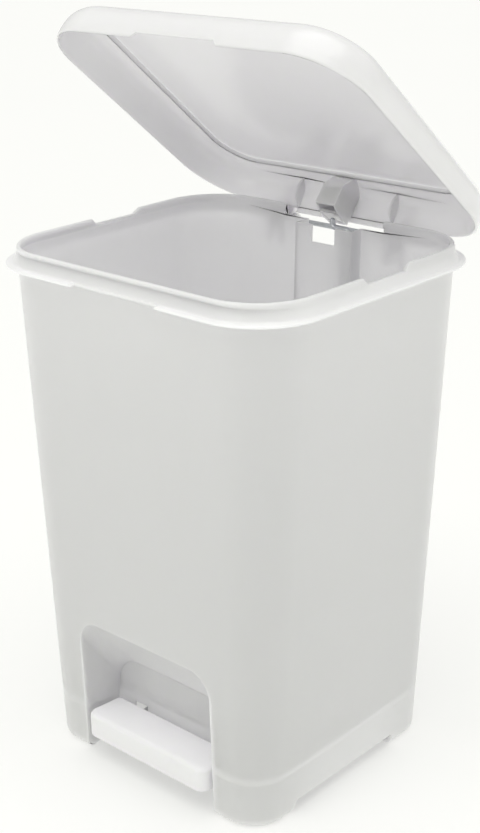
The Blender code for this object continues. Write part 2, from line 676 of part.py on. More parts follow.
# ---------------------------------------------------------------------------
# Pedal: lever under the floor, tread in the recess, axle, brackets and screws
# ---------------------------------------------------------------------------
ARM_LINE = ((-0.1180, 0.0255), (-0.0930, 0.0255), (-0.0800, 0.0215), (PIVOT_Y, PIVOT_Z),
            (0.0950, BAR_Z - 0.0002), (0.1130, BAR_Z))


def line_z(y):
    for (y0, z0), (y1, z1) in zip(ARM_LINE, ARM_LINE[1:]):
        if y <= y1:
            return z0 + (z1 - z0) * (y - y0) / (y1 - y0)
    return ARM_LINE[-1][1]


def slab(name, stations, thick=ARM_THICK):
    """Flat bar that follows the lever's side line: stations are (y, left x, right x)."""
    loops = []
    for y, left, right in stations:
        z = line_z(y)
        low, high = z - thick / 2, z + thick / 2
        loops.append([Vector((left, y, low)), Vector((right, y, low)),
                      Vector((right, y, high)), Vector((left, y, high))])
    return loft(name, loops)


def arm_stations(side):
    rows = []
    for y, centre in ((-0.1180, ARM_X), (-0.0930, ARM_X), (-0.0800, ARM_X), (PIVOT_Y, ARM_X),
                      (0.0000, ARM_X), (0.0950, 0.0160), (0.1000, 0.0160)):
        left, right = sorted((side * (centre - ARM_HALF), side * (centre + ARM_HALF)))
        rows.append((y, left, right))
    return rows


lever_white = material("lever_white", PALE, 0.42, 0.0)
lever = new_object("pedal_lever", slab("pedal_lever", arm_stations(-1)), lever_white)
on_pedal(lever)


def pedal_tool(name, mesh):
    return on_pedal(tool(name, mesh))


join(lever, pedal_tool("lever_arm_right", slab("lever_arm_right", arm_stations(1))))
rear_stations = [(0.0920, -0.0278, 0.0278), (0.0950, -0.0278, 0.0278), (0.1105, -0.0278, 0.0278)]
rear_bar = slab("lever_rear_bar", rear_stations, ARM_THICK - 0.0006)
join(lever, pedal_tool("lever_rear_bar", rear_bar))
front_bar = slab("lever_front_bar", [(-0.1160, -0.050, 0.050), (-0.0950, -0.050, 0.050)], ARM_THICK - 0.0010)
join(lever, pedal_tool("lever_front_bar", front_bar))
mid_bar = slab("lever_mid_bar", [(0.0300, -0.033, 0.033), (0.0400, -0.033, 0.033)], ARM_THICK - 0.0010)
join(lever, pedal_tool("lever_mid_bar", mid_bar))
for side, label in ((-1, "left"), (1, "right")):
    hub = turned("lever_hub_" + label, "X", (side * ARM_X, PIVOT_Y, PIVOT_Z),
                 [(-ARM_HALF, 0.0065), (ARM_HALF, 0.0065)])
    join(lever, pedal_tool("lever_hub_" + label, hub))
hub_bore = turned("hub_bore", "X", (0, PIVOT_Y, PIVOT_Z),
                  [(-0.09, AXLE_RADIUS + RUN_GAP), (0.09, AXLE_RADIUS + RUN_GAP)])
cut(lever, pedal_tool("hub_bore", hub_bore))
rod_y = REAR_BASE_Y + BAR_Z * math.tan(TILT) - ROD_DEPTH / math.cos(TILT)
rod_hole = turned("rod_hole", "Z", (ROD_SIDE, rod_y, BAR_Z), [(-0.02, 0.0043), (0.02, 0.0043)])
cut(lever, pedal_tool("rod_hole", rod_hole))
TREAD_SCREW_Y = -0.1050
for side, label in ((-1, "left"), (1, "right")):
    hole = turned("tread_hole_" + label, "Z", (side * ARM_X, TREAD_SCREW_Y, 0.0255),
                  [(-0.012, SCREW_R + SCREW_GAP), (0.012, SCREW_R + SCREW_GAP)], 20)
    cut(lever, pedal_tool("tread_hole_" + label, hole))

# tread: a shallow tray turned upside down, with two screw bosses
def tread_loop(inset, z_front, z_rear, steps=6):
    half, radius = TREAD_HALF - inset, TREAD_RADIUS - inset * 0.6
    y0, y1 = TREAD_FRONT + inset, TREAD_REAR - inset
    small = 0.0030
    flat = circle(half - small, y1 - small, small, steps, 0.0, math.pi / 2)
    flat += circle(-half + small, y1 - small, small, steps, math.pi / 2, math.pi / 2)
    flat += circle(-half + radius, y0 + radius, radius, steps, math.pi, math.pi / 2)
    flat += circle(half - radius, y0 + radius, radius, steps, math.pi * 1.5, math.pi / 2)
    slope = (z_rear - z_front) / (TREAD_REAR - TREAD_FRONT)
    return [Vector((x, y, z_front + slope * (y - TREAD_FRONT))) for x, y in flat]


tread_rings = [tread_loop(TREAD_WALL + 0.001, TREAD_TOP_FRONT - TREAD_WALL, TREAD_TOP_REAR - TREAD_WALL),
               tread_loop(TREAD_WALL, TREAD_BOTTOM, TREAD_BOTTOM + 0.006),
               tread_loop(0.0003, TREAD_BOTTOM, TREAD_BOTTOM + 0.006),
               tread_loop(0.0, TREAD_BOTTOM + 0.001, TREAD_BOTTOM + 0.007),
               tread_loop(0.0005, TREAD_TOP_FRONT - 0.0040, TREAD_TOP_REAR - 0.0030),
               tread_loop(0.0016, TREAD_TOP_FRONT - 0.0013, TREAD_TOP_REAR - 0.0010),
               tread_loop(0.0042, TREAD_TOP_FRONT, TREAD_TOP_REAR)]
tread_white = material("tread_white", WHITE, 0.34, 0.0)
tread = new_object("pedal_tread", loft("pedal_tread", tread_rings), tread_white)
on_pedal(tread)
boss_foot = line_z(TREAD_SCREW_Y) + ARM_THICK / 2 + TOUCH_GAP
for side, label in ((-1, "left"), (1, "right")):
    boss = turned("tread_boss_" + label, "Z", (side * ARM_X, TREAD_SCREW_Y, 0),
                  [(boss_foot, 0.0048), (0.0394, 0.0048)], 24)
    join(tread, pedal_tool("tread_boss_" + label, boss))
    core = turned("tread_core_" + label, "Z", (side * ARM_X, TREAD_SCREW_Y, 0),
                  [(0.020, SCREW_R + SCREW_GAP), (0.0365, SCREW_R + SCREW_GAP)], 20)
    cut(tread, pedal_tool("tread_core_" + label, core))
    centre = side * ARM_X
    way = box("tread_way_" + label, centre - 0.0076, centre + 0.0076, -0.0900, -0.0800, 0.0150, 0.0295)
    cut(tread, pedal_tool("tread_way_" + label, way))
    screw = screw_mesh("tread_screw_" + label, "Z", 1, 0.0130)
    screw = new_object("tread_screw_" + label, screw, screw_zinc, True)
    on_pedal(screw)
    screw.location += Vector((side * ARM_X, TREAD_SCREW_Y, line_z(TREAD_SCREW_Y) - ARM_THICK / 2 - TOUCH_GAP))

axle_zinc = material("axle_zinc", ZINC, 0.36, 1.0)
axle_profile = [(-AXLE_HALF, AXLE_RADIUS - end), (-AXLE_HALF + end, AXLE_RADIUS)]
axle_profile += [(AXLE_HALF - end, AXLE_RADIUS), (AXLE_HALF, AXLE_RADIUS - end)]
axle = new_object("lever_axle", turned("lever_axle", "X", (0, 0, 0), axle_profile), axle_zinc, True)
hang(axle, pedal_axis)
for side, label in ((-1, "left"), (1, "right")):
    cap = cap_mesh("axle_cap_" + label, AXLE_RADIUS + SCREW_GAP, 0.0060, 0.0046, side)
    cap = new_object("axle_cap_" + label, cap, cap_zinc, True)
    hang(cap, pedal_axis, (side * (AXLE_HALF - 0.0017), 0, 0))

bracket_white = material("bracket_white", PALE, 0.42, 0.0)
BRACKET_LOW = 0.0225
for side, label in ((-1, "left"), (1, "right")):
    x0, x1 = sorted((side * BLOCK_IN, side * BLOCK_OUT))
    outline = [(PIVOT_Y - BLOCK_HALF, BRACKET_LOW + 0.0015), (PIVOT_Y - BLOCK_HALF + 0.0015, BRACKET_LOW)]
    outline += [(PIVOT_Y + BLOCK_HALF - 0.0015, BRACKET_LOW), (PIVOT_Y + BLOCK_HALF, BRACKET_LOW + 0.0015)]
    outline += [(PIVOT_Y + BLOCK_HALF, PIVOT_Z - TOUCH_GAP / 2), (PIVOT_Y - BLOCK_HALF, PIVOT_Z - TOUCH_GAP / 2)]
    bracket = new_object("axle_bracket_" + label, prism("axle_bracket_" + label, outline, "X", x0, x1), bracket_white)
    bracket.parent = root
    cut(bracket, axle_bore)
for label, position, x, y in bracket_screws:
    bracket = bpy.data.objects["axle_bracket_" + label]
    cut(bracket, bpy.data.objects["block_hole_%s_%s" % (label, position)])
    name = "bracket_screw_%s_%s" % (label, position)
    screw = new_object(name, screw_mesh(name, "Z", 1, 0.0150), screw_zinc, True)
    hang(screw, root, (x, y, BRACKET_LOW - TOUCH_GAP))

# ---------------------------------------------------------------------------
# Put the origin at the bottom centre of the whole part as it stands, lid open
# ---------------------------------------------------------------------------
bpy.context.view_layer.update()
low = Vector((math.inf, math.inf, math.inf))
high = -low
for obj in bpy.data.objects:
    if obj.type != "MESH" or obj.hide_render:
        continue
    for corner in obj.data.vertices:
        point = obj.matrix_world @ corner.co
        low = Vector(map(min, low, point))
        high = Vector(map(max, high, point))
root.location = (0, -(low.y + high.y) / 2, -low.z)
bpy.context.view_layer.update()
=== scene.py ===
"""Pedal trash can, finished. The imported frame's pieces are rebuilt as smooth mouldings and turned
metal parts, in white moulded plastic and zinc plate, on a plain pale floor in soft studio light."""

import json
import math

import bmesh
import bpy
from bpy.props import FloatProperty, FloatVectorProperty, IntProperty, PointerProperty
from mathutils import Matrix, Vector


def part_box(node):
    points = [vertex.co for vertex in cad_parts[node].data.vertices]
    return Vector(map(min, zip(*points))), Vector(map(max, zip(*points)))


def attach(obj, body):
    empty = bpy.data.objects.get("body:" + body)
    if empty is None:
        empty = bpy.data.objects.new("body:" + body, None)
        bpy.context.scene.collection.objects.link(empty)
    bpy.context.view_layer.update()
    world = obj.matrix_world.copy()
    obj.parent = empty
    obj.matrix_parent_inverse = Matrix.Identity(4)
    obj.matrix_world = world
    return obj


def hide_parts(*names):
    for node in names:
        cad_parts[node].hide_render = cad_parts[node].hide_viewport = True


bl_info = {
    "name": "Pedal Trash Can",
    "version": (1, 0, 0),
    "blender": (4, 5, 0),
    "location": "3D View > Sidebar > Trash Can",
    "description": "Builds the finished pedal trash can around its packed frame",
    "category": "Object",
}

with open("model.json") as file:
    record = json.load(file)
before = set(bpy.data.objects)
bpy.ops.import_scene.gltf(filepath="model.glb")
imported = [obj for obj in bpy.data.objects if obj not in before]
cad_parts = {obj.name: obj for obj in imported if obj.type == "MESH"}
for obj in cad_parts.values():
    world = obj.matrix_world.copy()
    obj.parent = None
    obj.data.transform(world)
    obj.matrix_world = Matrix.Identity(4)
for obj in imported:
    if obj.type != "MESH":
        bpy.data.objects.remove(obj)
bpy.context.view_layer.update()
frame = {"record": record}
RECORD = frame["record"]
BODY_OF = {node: body for body, nodes in RECORD["behaviour"]["bodies"].items() for node in nodes}


def middle(node):
    low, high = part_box(node)
    return (low + high) / 2


def half_size(node):
    low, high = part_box(node)
    return (high - low) / 2


# ---------------------------------------------------------------------------
# Places and sizes, metres. Pieces are drawn from the middle of the rim, on the floor;
# front faces -Y, the hinge is at the rear, Z is up.
# ---------------------------------------------------------------------------
HINGE_Y = 0.1454
HINGE_Z = middle("hinge_wire").z
MIDDLE_Y = middle("hinge_wire").y - HINGE_Y
BIN = Matrix.Translation((0.0, MIDDLE_Y, 0.0))

RIM_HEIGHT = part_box("bin_body")[1].z
LIP_BOTTOM = 0.434
LIP_THICK = 0.0024
FLOOR_UNDER = 0.041
FLOOR_TOP = 0.0435
BASE_WIDTH, BASE_DEPTH, BASE_RADIUS = 0.248, 0.2307, 0.031
BASE_OFFSET = -0.0044
TOP_WIDTH, TOP_DEPTH, TOP_RADIUS = 0.296, 0.2574, 0.049
LIP_WIDTH, LIP_DEPTH, LIP_RADIUS = 2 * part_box("bin_body")[1].x, 0.2767, 0.0564
BAND_WIDTH, BAND_DEPTH, BAND_RADIUS = 0.3062, 0.2616, 0.0535
BEAD_WIDTH, BEAD_DEPTH, BEAD_RADIUS = 0.2891, 0.2531, 0.048
BEAD = 0.0040
FOOT_HEIGHT = 0.011
FOOT_ROUND = 0.007
SKIRT_FRONT, SKIRT_REAR = -0.072, 0.058

RECESS_HALF, RECESS_TOP, RECESS_CREASE, RECESS_RADIUS = 0.076, 0.131, 0.075, 0.022
RECESS_BACK_LOW, RECESS_BACK_HIGH = -0.0835, -0.0765
GROOVE_HALF, GROOVE_DEPTH = 0.0288, 0.0140
NOTCH_HALF, NOTCH_FLOOR = 0.054, 0.440

LID_WIDTH, LID_DEPTH, LID_RADIUS, LID_OFFSET = 0.3143, 0.2700, 0.0522, 0.0011
LID_BOTTOM, LID_RISE, LID_LEAN = 0.438, 0.0326, 0.13
LID_OPEN = math.radians(39.7)
EAR_RADIUS = 0.0056
EAR_INNER, EAR_THICK, EAR_OUTER = 0.056, 0.004, 0.076
WIRE_RADIUS = half_size("hinge_wire").z
WIRE_HALF = half_size("hinge_wire").x
BORE_GAP = 0.0001
TOUCH_GAP = 0.0003
POCKET_HALF, POCKET_WALL = 0.0105, 0.0020
POCKET_FRONT, POCKET_STEP, POCKET_REAR = 0.1033, 0.1189, 0.1310
POCKET_MOUTH, POCKET_LOW, POCKET_CEILING = 0.4337, 0.4289, 0.4500
WEB_FRONT, WEB_REAR, WEB_LOW, WEB_TOP = 0.1130, 0.1268, 0.4300, 0.4330
APRON_LOW = 0.4340
FIN_X, FIN_THICK = 0.0518, 0.0018

ROD_RADIUS, ROD_SIDE, ROD_DEPTH = 0.0025, 0.022, 0.0070
ROD_TOP_SIDE, ROD_TIP, ROD_CRANK, ROD_FOOT, ROD_BEND = 0.003, 0.4467, 0.4385, 0.0270, 0.0040

PIVOT_Y = middle("lever_axle").y - MIDDLE_Y
PIVOT_Z = middle("lever_axle").z
AXLE_RADIUS = half_size("lever_axle").z
AXLE_HALF = half_size("lever_axle").x
ARM_X, ARM_HALF, ARM_THICK, BAR_Z = 0.048, 0.0065, 0.0060, 0.0355
ARM_LINE = ((-0.1180, 0.0255), (-0.0930, 0.0255), (-0.0800, 0.0215), (PIVOT_Y, PIVOT_Z),
            (0.0950, BAR_Z - 0.0002), (0.1130, BAR_Z))
TREAD_HALF, TREAD_FRONT, TREAD_REAR = 0.0710, -0.1255, -0.0845
TREAD_TOP_FRONT, TREAD_TOP_REAR, TREAD_BOTTOM = 0.0425, 0.0395, 0.0200
TREAD_RADIUS, TREAD_WALL, TREAD_SCREW_Y = 0.010, 0.0025, -0.1050
BLOCK_IN, BLOCK_OUT, BLOCK_HALF, BLOCK_SCREW_Y = 0.058, 0.071, 0.0155, 0.0102
BRACKET_LOW = 0.0225
SCREW_RADIUS = 0.0020
CLIP_Z = {"lower": 0.130, "upper": 0.330}
CLIP_SCREW_X = 0.0085

REAR_BASE_Y = BASE_OFFSET + BASE_DEPTH / 2
TILT = math.atan((TOP_DEPTH / 2 - REAR_BASE_Y) / LIP_BOTTOM)
REAR = BIN @ Matrix.Translation((0.0, REAR_BASE_Y, 0.0)) @ Matrix.Rotation(-TILT, 4, "X")
HINGE = Matrix.Translation((0.0, HINGE_Y, HINGE_Z))
LID = BIN @ HINGE @ Matrix.Rotation(-LID_OPEN, 4, "X") @ HINGE.inverted()
SIDES = ((-1, "left"), (1, "right"))


# ---------------------------------------------------------------------------
# Settings
# ---------------------------------------------------------------------------
class TrashCanShape(bpy.types.PropertyGroup):
    """Moulding details of the trash can"""

    wall: FloatProperty(name="Wall", description="Thickness of the moulded walls", default=0.0022,
                        min=0.001, max=0.004, unit="LENGTH")
    soft_edge: FloatProperty(name="Soft Edge", description="Rounding of the moulded edges", default=0.0006,
                             min=0.0001, max=0.001, unit="LENGTH")
    corner_steps: IntProperty(name="Corner Steps", description="Faces round each corner of the bin and lid",
                              default=22, min=8, max=48)
    round_steps: IntProperty(name="Round Steps", description="Faces round each turned part", default=40,
                             min=16, max=96)


class TrashCanFinish(bpy.types.PropertyGroup):
    """Colours and surface of the trash can"""

    plastic: FloatVectorProperty(name="Plastic", description="Colour of the gloss white mouldings",
                                 subtype="COLOR", default=(0.945, 0.935, 0.965), min=0, max=1)
    inner_plastic: FloatVectorProperty(name="Inner Plastic", subtype="COLOR", default=(0.74, 0.74, 0.77),
                                       description="Colour of the lever, clips and brackets", min=0, max=1)
    dust: FloatVectorProperty(name="Dust", description="Colour of the film near the floor",
                              subtype="COLOR", default=(0.60, 0.58, 0.55), min=0, max=1)
    zinc: FloatVectorProperty(name="Zinc", description="Colour of the plated wire and screws",
                              subtype="COLOR", default=(0.62, 0.64, 0.67), min=0, max=1)
    gloss: FloatProperty(name="Gloss Roughness", description="Roughness of the gloss mouldings", default=0.30,
                         min=0.05, max=1, subtype="FACTOR")


class TrashCanStudio(bpy.types.PropertyGroup):
    """Floor, light and camera"""

    floor: FloatVectorProperty(name="Floor", description="Colour of the plain floor", subtype="COLOR",
                               default=(0.62, 0.623, 0.607), min=0, max=1)
    floor_glow: FloatProperty(name="Floor Glow", default=0.58, min=0,
                              description="Light given by the floor itself, as on a light table")
    sky: FloatProperty(name="Sky", description="Strength of the even light all round", default=0.50, min=0)
    overhead: FloatProperty(name="Overhead Light", description="Strength of the soft light from above",
                            default=1.55, min=0)
    softness: FloatProperty(name="Softness", description="Width of the overhead light as seen from the floor",
                            default=math.radians(70), min=0, max=math.pi, subtype="ANGLE")
    front_power: FloatProperty(name="Front Light", description="Power of the light on the front wall",
                               default=8.5, min=0, unit="POWER")
    side_power: FloatProperty(name="Side Light", description="Power of the light on the right-hand wall",
                              default=4.0, min=0, unit="POWER")
    lens: FloatProperty(name="Lens", description="Focal length in millimetres", default=65.34,
                        min=10, max=300)


# ---------------------------------------------------------------------------
# Outlines and meshes
# ---------------------------------------------------------------------------
def shape():
    return bpy.context.scene.trash_can_shape


def mesh_from(name, build):
    bm = bmesh.new()
    build(bm)
    bmesh.ops.recalc_face_normals(bm, faces=bm.faces[:])
    mesh = bpy.data.meshes.new(name)
    bm.to_mesh(mesh)
    bm.free()
    return mesh


def arc(cx, cy, radius, start, sweep, steps):
    """Points along an arc, angles in degrees, both ends included."""
    angles = [math.radians(start + sweep * k / steps) for k in range(steps + 1)]
    return [(cx + radius * math.cos(a), cy + radius * math.sin(a)) for a in angles]


def ring(width, depth, radius, centre_y, z):
    """Rounded rectangle in plan, as a closed loop of points at height z."""
    points = []
    for sx, sy, start in ((1, 1, 0), (-1, 1, 90), (-1, -1, 180), (1, -1, 270)):
        corner = arc(sx * (width / 2 - radius), sy * (depth / 2 - radius) + centre_y, radius,
                     start, 90, shape().corner_steps)
        points += [Vector((x, y, z)) for x, y in corner]
    return points


def loft(name, rings):
    """Closed body through a list of equal loops, capped at both ends."""
    def build(bm):
        rows = [[bm.verts.new(p) for p in loop] for loop in rings]
        for low, high in zip(rows, rows[1:]):
            for k in range(len(low)):
                j = (k + 1) % len(low)
                bm.faces.new((low[k], low[j], high[j], high[k]))
        bm.faces.new(rows[0])
        bm.faces.new(rows[-1])
    return mesh_from(name, build)


def prism(name, outline, axis, low, high):
    """Outline of (a, b) pairs pushed from low to high along an axis.
    The pairs are (y, z) for X, (x, z) for Y and (x, y) for Z."""
    order = {"X": lambda a, b, c: (c, a, b), "Y": lambda a, b, c: (a, c, b), "Z": lambda a, b, c: (a, b, c)}
    place = order[axis]
    return loft(name, [[Vector(place(a, b, c)) for a, b in outline] for c in (low, high)])


def box(name, x0, x1, y0, y1, z0, z1):
    return prism(name, [(x0, y0), (x1, y0), (x1, y1), (x0, y1)], "Z", z0, z1)


def turned(name, axis, centre, profile):
    """Turned body: profile of (along, radius) pairs about an axis through centre."""
    steps = shape().round_steps
    order = {"X": lambda a, u, v: (a, u, v), "Y": lambda a, u, v: (u, a, v), "Z": lambda a, u, v: (u, v, a)}
    place = order[axis]
    loops = []
    for along, radius in profile:
        angles = [math.tau * k / steps for k in range(steps)]
        loops.append([Vector(centre) + Vector(place(along, radius * math.cos(a), radius * math.sin(a)))
                      for a in angles])
    return loft(name, loops)


def bore(name, axis, centre, radius, reach=0.09):
    return turned(name, axis, centre, [(-reach, radius), (reach, radius)])


def smooth_line(points, steps):
    """Points on a smooth curve through the given pairs."""
    line = [points[0]] + list(points) + [points[-1]]
    curve = []
    for p0, p1, p2, p3 in zip(line, line[1:], line[2:], line[3:]):
        for k in range(steps):
            t = k / steps
            curve.append(tuple(
                0.5 * (2 * b + (c - a) * t + (2 * a - 5 * b + 4 * c - d) * t * t
                       + (3 * b - a - 3 * c + d) * t ** 3)
                for a, b, c, d in zip(p0, p1, p2, p3)))
    return curve + [tuple(points[-1])]


def carve(name, mesh, place, steps=(), edge=0.0, edge_angle=38.0, segments=3):
    """Joins and cuts other meshes in order, rounds the hard edges and returns the mesh in the frame's
    coordinates. Each step is (operation, mesh, place)."""
    made = []

    def put(label, data, matrix):
        data.transform(matrix)
        obj = bpy.data.objects.new(label, data)
        bpy.context.scene.collection.objects.link(obj)
        made.append(obj)
        return obj

    base = put(name, mesh, place)
    mesh.shade_smooth()
    for operation, tool, matrix in steps:
        tool.shade_smooth()
        mod = base.modifiers.new(tool.name, "BOOLEAN")
        mod.operation = operation
        mod.solver = "EXACT"
        mod.object = put(tool.name, tool, matrix)
    if steps:
        weld = base.modifiers.new("weld", "WELD")
        weld.merge_threshold = 0.00003
    if edge:
        bevel = base.modifiers.new("soft_edges", "BEVEL")
        bevel.limit_method = "ANGLE"
        bevel.angle_limit = math.radians(edge_angle)
        bevel.width = edge
        bevel.segments = segments
        bevel.use_clamp_overlap = False
        bevel.harden_normals = True
    bpy.context.view_layer.update()
    evaluated = base.evaluated_get(bpy.context.evaluated_depsgraph_get())
    result = bpy.data.meshes.new_from_object(evaluated)
    for obj in made:
        data = obj.data
        bpy.data.objects.remove(obj)
        bpy.data.meshes.remove(data)
    return result


CUT, JOIN, KEEP = "DIFFERENCE", "UNION", "INTERSECT"


def add_piece(node, mesh, material, sharp=42.0):
    """Shows a finished mesh in place of a CAD node, on that node's body and in its material slot."""
    mesh.shade_smooth()
    mesh.set_sharp_from_angle(angle=math.radians(sharp))
    piece = bpy.data.objects.new(node + "_finished", mesh)
    bpy.context.scene.collection.objects.link(piece)
    mesh.materials.clear()
    mesh.materials.append(material)
    weighted = piece.modifiers.new("even_shading", "WEIGHTED_NORMAL")
    weighted.keep_sharp = True
    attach(piece, BODY_OF[node])
    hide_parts(node)
    return piece


# ---------------------------------------------------------------------------
# Finishes
# ---------------------------------------------------------------------------
def new_group(name, inputs, outputs):
    """Empty shader node group. Inputs are (name, type, default), outputs (name, type)."""
    group = bpy.data.node_groups.new(name, "ShaderNodeTree")
    for label, kind, default in inputs:
        socket = group.interface.new_socket(name=label, in_out="INPUT", socket_type=kind)
        socket.default_value = default
    for label, kind in outputs:
        group.interface.new_socket(name=label, in_out="OUTPUT", socket_type=kind)
    return group, group.nodes.new("NodeGroupInput"), group.nodes.new("NodeGroupOutput")


def math_node(tree, operation, *values):
    node = tree.nodes.new("ShaderNodeMath")
    node.operation = operation
    for socket, value in zip(node.inputs, values):
        if isinstance(value, bpy.types.NodeSocket):
            tree.links.new(value, socket)
        else:
            socket.default_value = value
    return node.outputs[0]


def noise_node(tree, scale, detail, vector, roughness=0.55):
    node = tree.nodes.new("ShaderNodeTexNoise")
    node.inputs["Detail"].default_value = detail
    node.inputs["Roughness"].default_value = roughness
    if isinstance(scale, bpy.types.NodeSocket):
        tree.links.new(scale, node.inputs["Scale"])
    else:
        node.inputs["Scale"].default_value = scale
    tree.links.new(vector, node.inputs["Vector"])
    return node.outputs["Fac"]


def mix_colour(tree, factor, first, second, blend="MIX"):
    node = tree.nodes.new("ShaderNodeMix")
    node.data_type = "RGBA"
    node.blend_type = blend
    for socket, value in zip((node.inputs[0], node.inputs[6], node.inputs[7]), (factor, first, second)):
        if isinstance(value, bpy.types.NodeSocket):
            tree.links.new(value, socket)
        else:
            socket.default_value = value
    return node.outputs[2]


def moulded_skin():
    """Slow tone drift, faint flow marks and the fine rippled skin of injection-moulded plastic."""
    name = "Moulded Skin"
    if name in bpy.data.node_groups:
        return bpy.data.node_groups[name]
    inputs = (("Color", "NodeSocketColor", (0.8, 0.8, 0.8, 1.0)), ("Drift", "NodeSocketFloat", 0.02),
              ("Roughness", "NodeSocketFloat", 0.3), ("Patchiness", "NodeSocketFloat", 0.05),
              ("Grain Scale", "NodeSocketFloat", 900.0), ("Ripple", "NodeSocketFloat", 0.4))
    outputs = (("Color", "NodeSocketColor"), ("Roughness", "NodeSocketFloat"), ("Height", "NodeSocketFloat"))
    group, inlet, outlet = new_group(name, inputs, outputs)
    where = group.nodes.new("ShaderNodeTexCoord").outputs["Object"]
    stretched = group.nodes.new("ShaderNodeMapping")
    stretched.inputs["Scale"].default_value = (1.0, 1.0, 0.35)
    group.links.new(where, stretched.inputs["Vector"])
    slow = noise_node(group, 5.0, 2.0, stretched.outputs["Vector"])
    flow = noise_node(group, 38.0, 4.0, stretched.outputs["Vector"])
    slow_share = math_node(group, "MULTIPLY", slow, 0.7)
    tone = math_node(group, "ADD", slow_share, math_node(group, "MULTIPLY", flow, 0.3))
    shade = math_node(group, "SUBTRACT", tone, 0.5)
    shade = math_node(group, "MULTIPLY", shade, inlet.outputs["Drift"])
    shade = math_node(group, "ADD", shade, 1.0)
    tint = group.nodes.new("ShaderNodeVectorMath")
    tint.operation = "SCALE"
    group.links.new(inlet.outputs["Color"], tint.inputs[0])
    group.links.new(shade, tint.inputs["Scale"])
    group.links.new(tint.outputs["Vector"], outlet.inputs["Color"])
    patches = math_node(group, "SUBTRACT", flow, 0.5)
    patches = math_node(group, "MULTIPLY", patches, inlet.outputs["Patchiness"])
    group.links.new(math_node(group, "ADD", inlet.outputs["Roughness"], patches), outlet.inputs["Roughness"])
    grain = noise_node(group, inlet.outputs["Grain Scale"], 3.0, where, 0.6)
    ripple = noise_node(group, 55.0, 1.0, where)
    ripple = math_node(group, "MULTIPLY", ripple, inlet.outputs["Ripple"])
    group.links.new(math_node(group, "ADD", grain, ripple), outlet.inputs["Height"])
    return group


def floor_dust():
    """Film of dust that gathers low on the bin, broken by noise."""
    name = "Floor Dust"
    if name in bpy.data.node_groups:
        return bpy.data.node_groups[name]
    inputs = (("Color", "NodeSocketColor", (0.8, 0.8, 0.8, 1.0)),
              ("Dust Color", "NodeSocketColor", (0.6, 0.6, 0.6, 1.0)),
              ("Roughness", "NodeSocketFloat", 0.3), ("Reach", "NodeSocketFloat", 0.05),
              ("Amount", "NodeSocketFloat", 0.1))
    outputs = (("Color", "NodeSocketColor"), ("Roughness", "NodeSocketFloat"), ("Mask", "NodeSocketFloat"))
    group, inlet, outlet = new_group(name, inputs, outputs)
    where = group.nodes.new("ShaderNodeTexCoord").outputs["Object"]
    split = group.nodes.new("ShaderNodeSeparateXYZ")
    group.links.new(where, split.inputs["Vector"])
    near = math_node(group, "DIVIDE", split.outputs["Z"], inlet.outputs["Reach"])
    near = math_node(group, "SUBTRACT", 1.0, near)
    near = math_node(group, "MAXIMUM", near, 0.0)
    speckle = noise_node(group, 240.0, 5.0, where, 0.7)
    speckle = math_node(group, "MULTIPLY", speckle, 1.4)
    mask = math_node(group, "MULTIPLY", math_node(group, "MULTIPLY", near, near), speckle)
    mask = math_node(group, "MULTIPLY", mask, inlet.outputs["Amount"])
    mask = math_node(group, "MINIMUM", mask, 1.0)
    colour = mix_colour(group, mask, inlet.outputs["Color"], inlet.outputs["Dust Color"])
    group.links.new(colour, outlet.inputs["Color"])
    rough = math_node(group, "MULTIPLY", mask, 0.4)
    group.links.new(math_node(group, "ADD", inlet.outputs["Roughness"], rough), outlet.inputs["Roughness"])
    group.links.new(mask, outlet.inputs["Mask"])
    return group


def fine_scuffs():
    """Short hairline scuffs in random directions, as a height and a mask."""
    name = "Fine Scuffs"
    if name in bpy.data.node_groups:
        return bpy.data.node_groups[name]
    inputs = (("Scale", "NodeSocketFloat", 60.0), ("Amount", "NodeSocketFloat", 0.5))
    outputs = (("Mask", "NodeSocketFloat"),)
    group, inlet, outlet = new_group(name, inputs, outputs)
    where = group.nodes.new("ShaderNodeTexCoord").outputs["Object"]
    masks = []
    for turn, stretch in ((0.4, 0.04), (1.9, 0.06), (2.7, 0.05)):
        mapping = group.nodes.new("ShaderNodeMapping")
        mapping.inputs["Rotation"].default_value = (0.3 * turn, 0.2, turn)
        mapping.inputs["Scale"].default_value = (1.0, stretch, 1.0)
        group.links.new(where, mapping.inputs["Vector"])
        lines = noise_node(group, inlet.outputs["Scale"], 2.0, mapping.outputs["Vector"], 0.5)
        lines = math_node(group, "SUBTRACT", lines, 0.68)
        masks.append(math_node(group, "MAXIMUM", math_node(group, "MULTIPLY", lines, 7.0), 0.0))
    total = math_node(group, "ADD", math_node(group, "ADD", masks[0], masks[1]), masks[2])
    total = math_node(group, "MULTIPLY", math_node(group, "MINIMUM", total, 1.0), inlet.outputs["Amount"])
    group.links.new(total, outlet.inputs["Mask"])
    return group


def place_group(tree, group, **values):
    node = tree.nodes.new("ShaderNodeGroup")
    node.node_tree = group
    for label, value in values.items():
        socket = node.inputs[label.replace("_", " ").title()]
        if isinstance(value, bpy.types.NodeSocket):
            tree.links.new(value, socket)
        else:
            socket.default_value = value
    return node


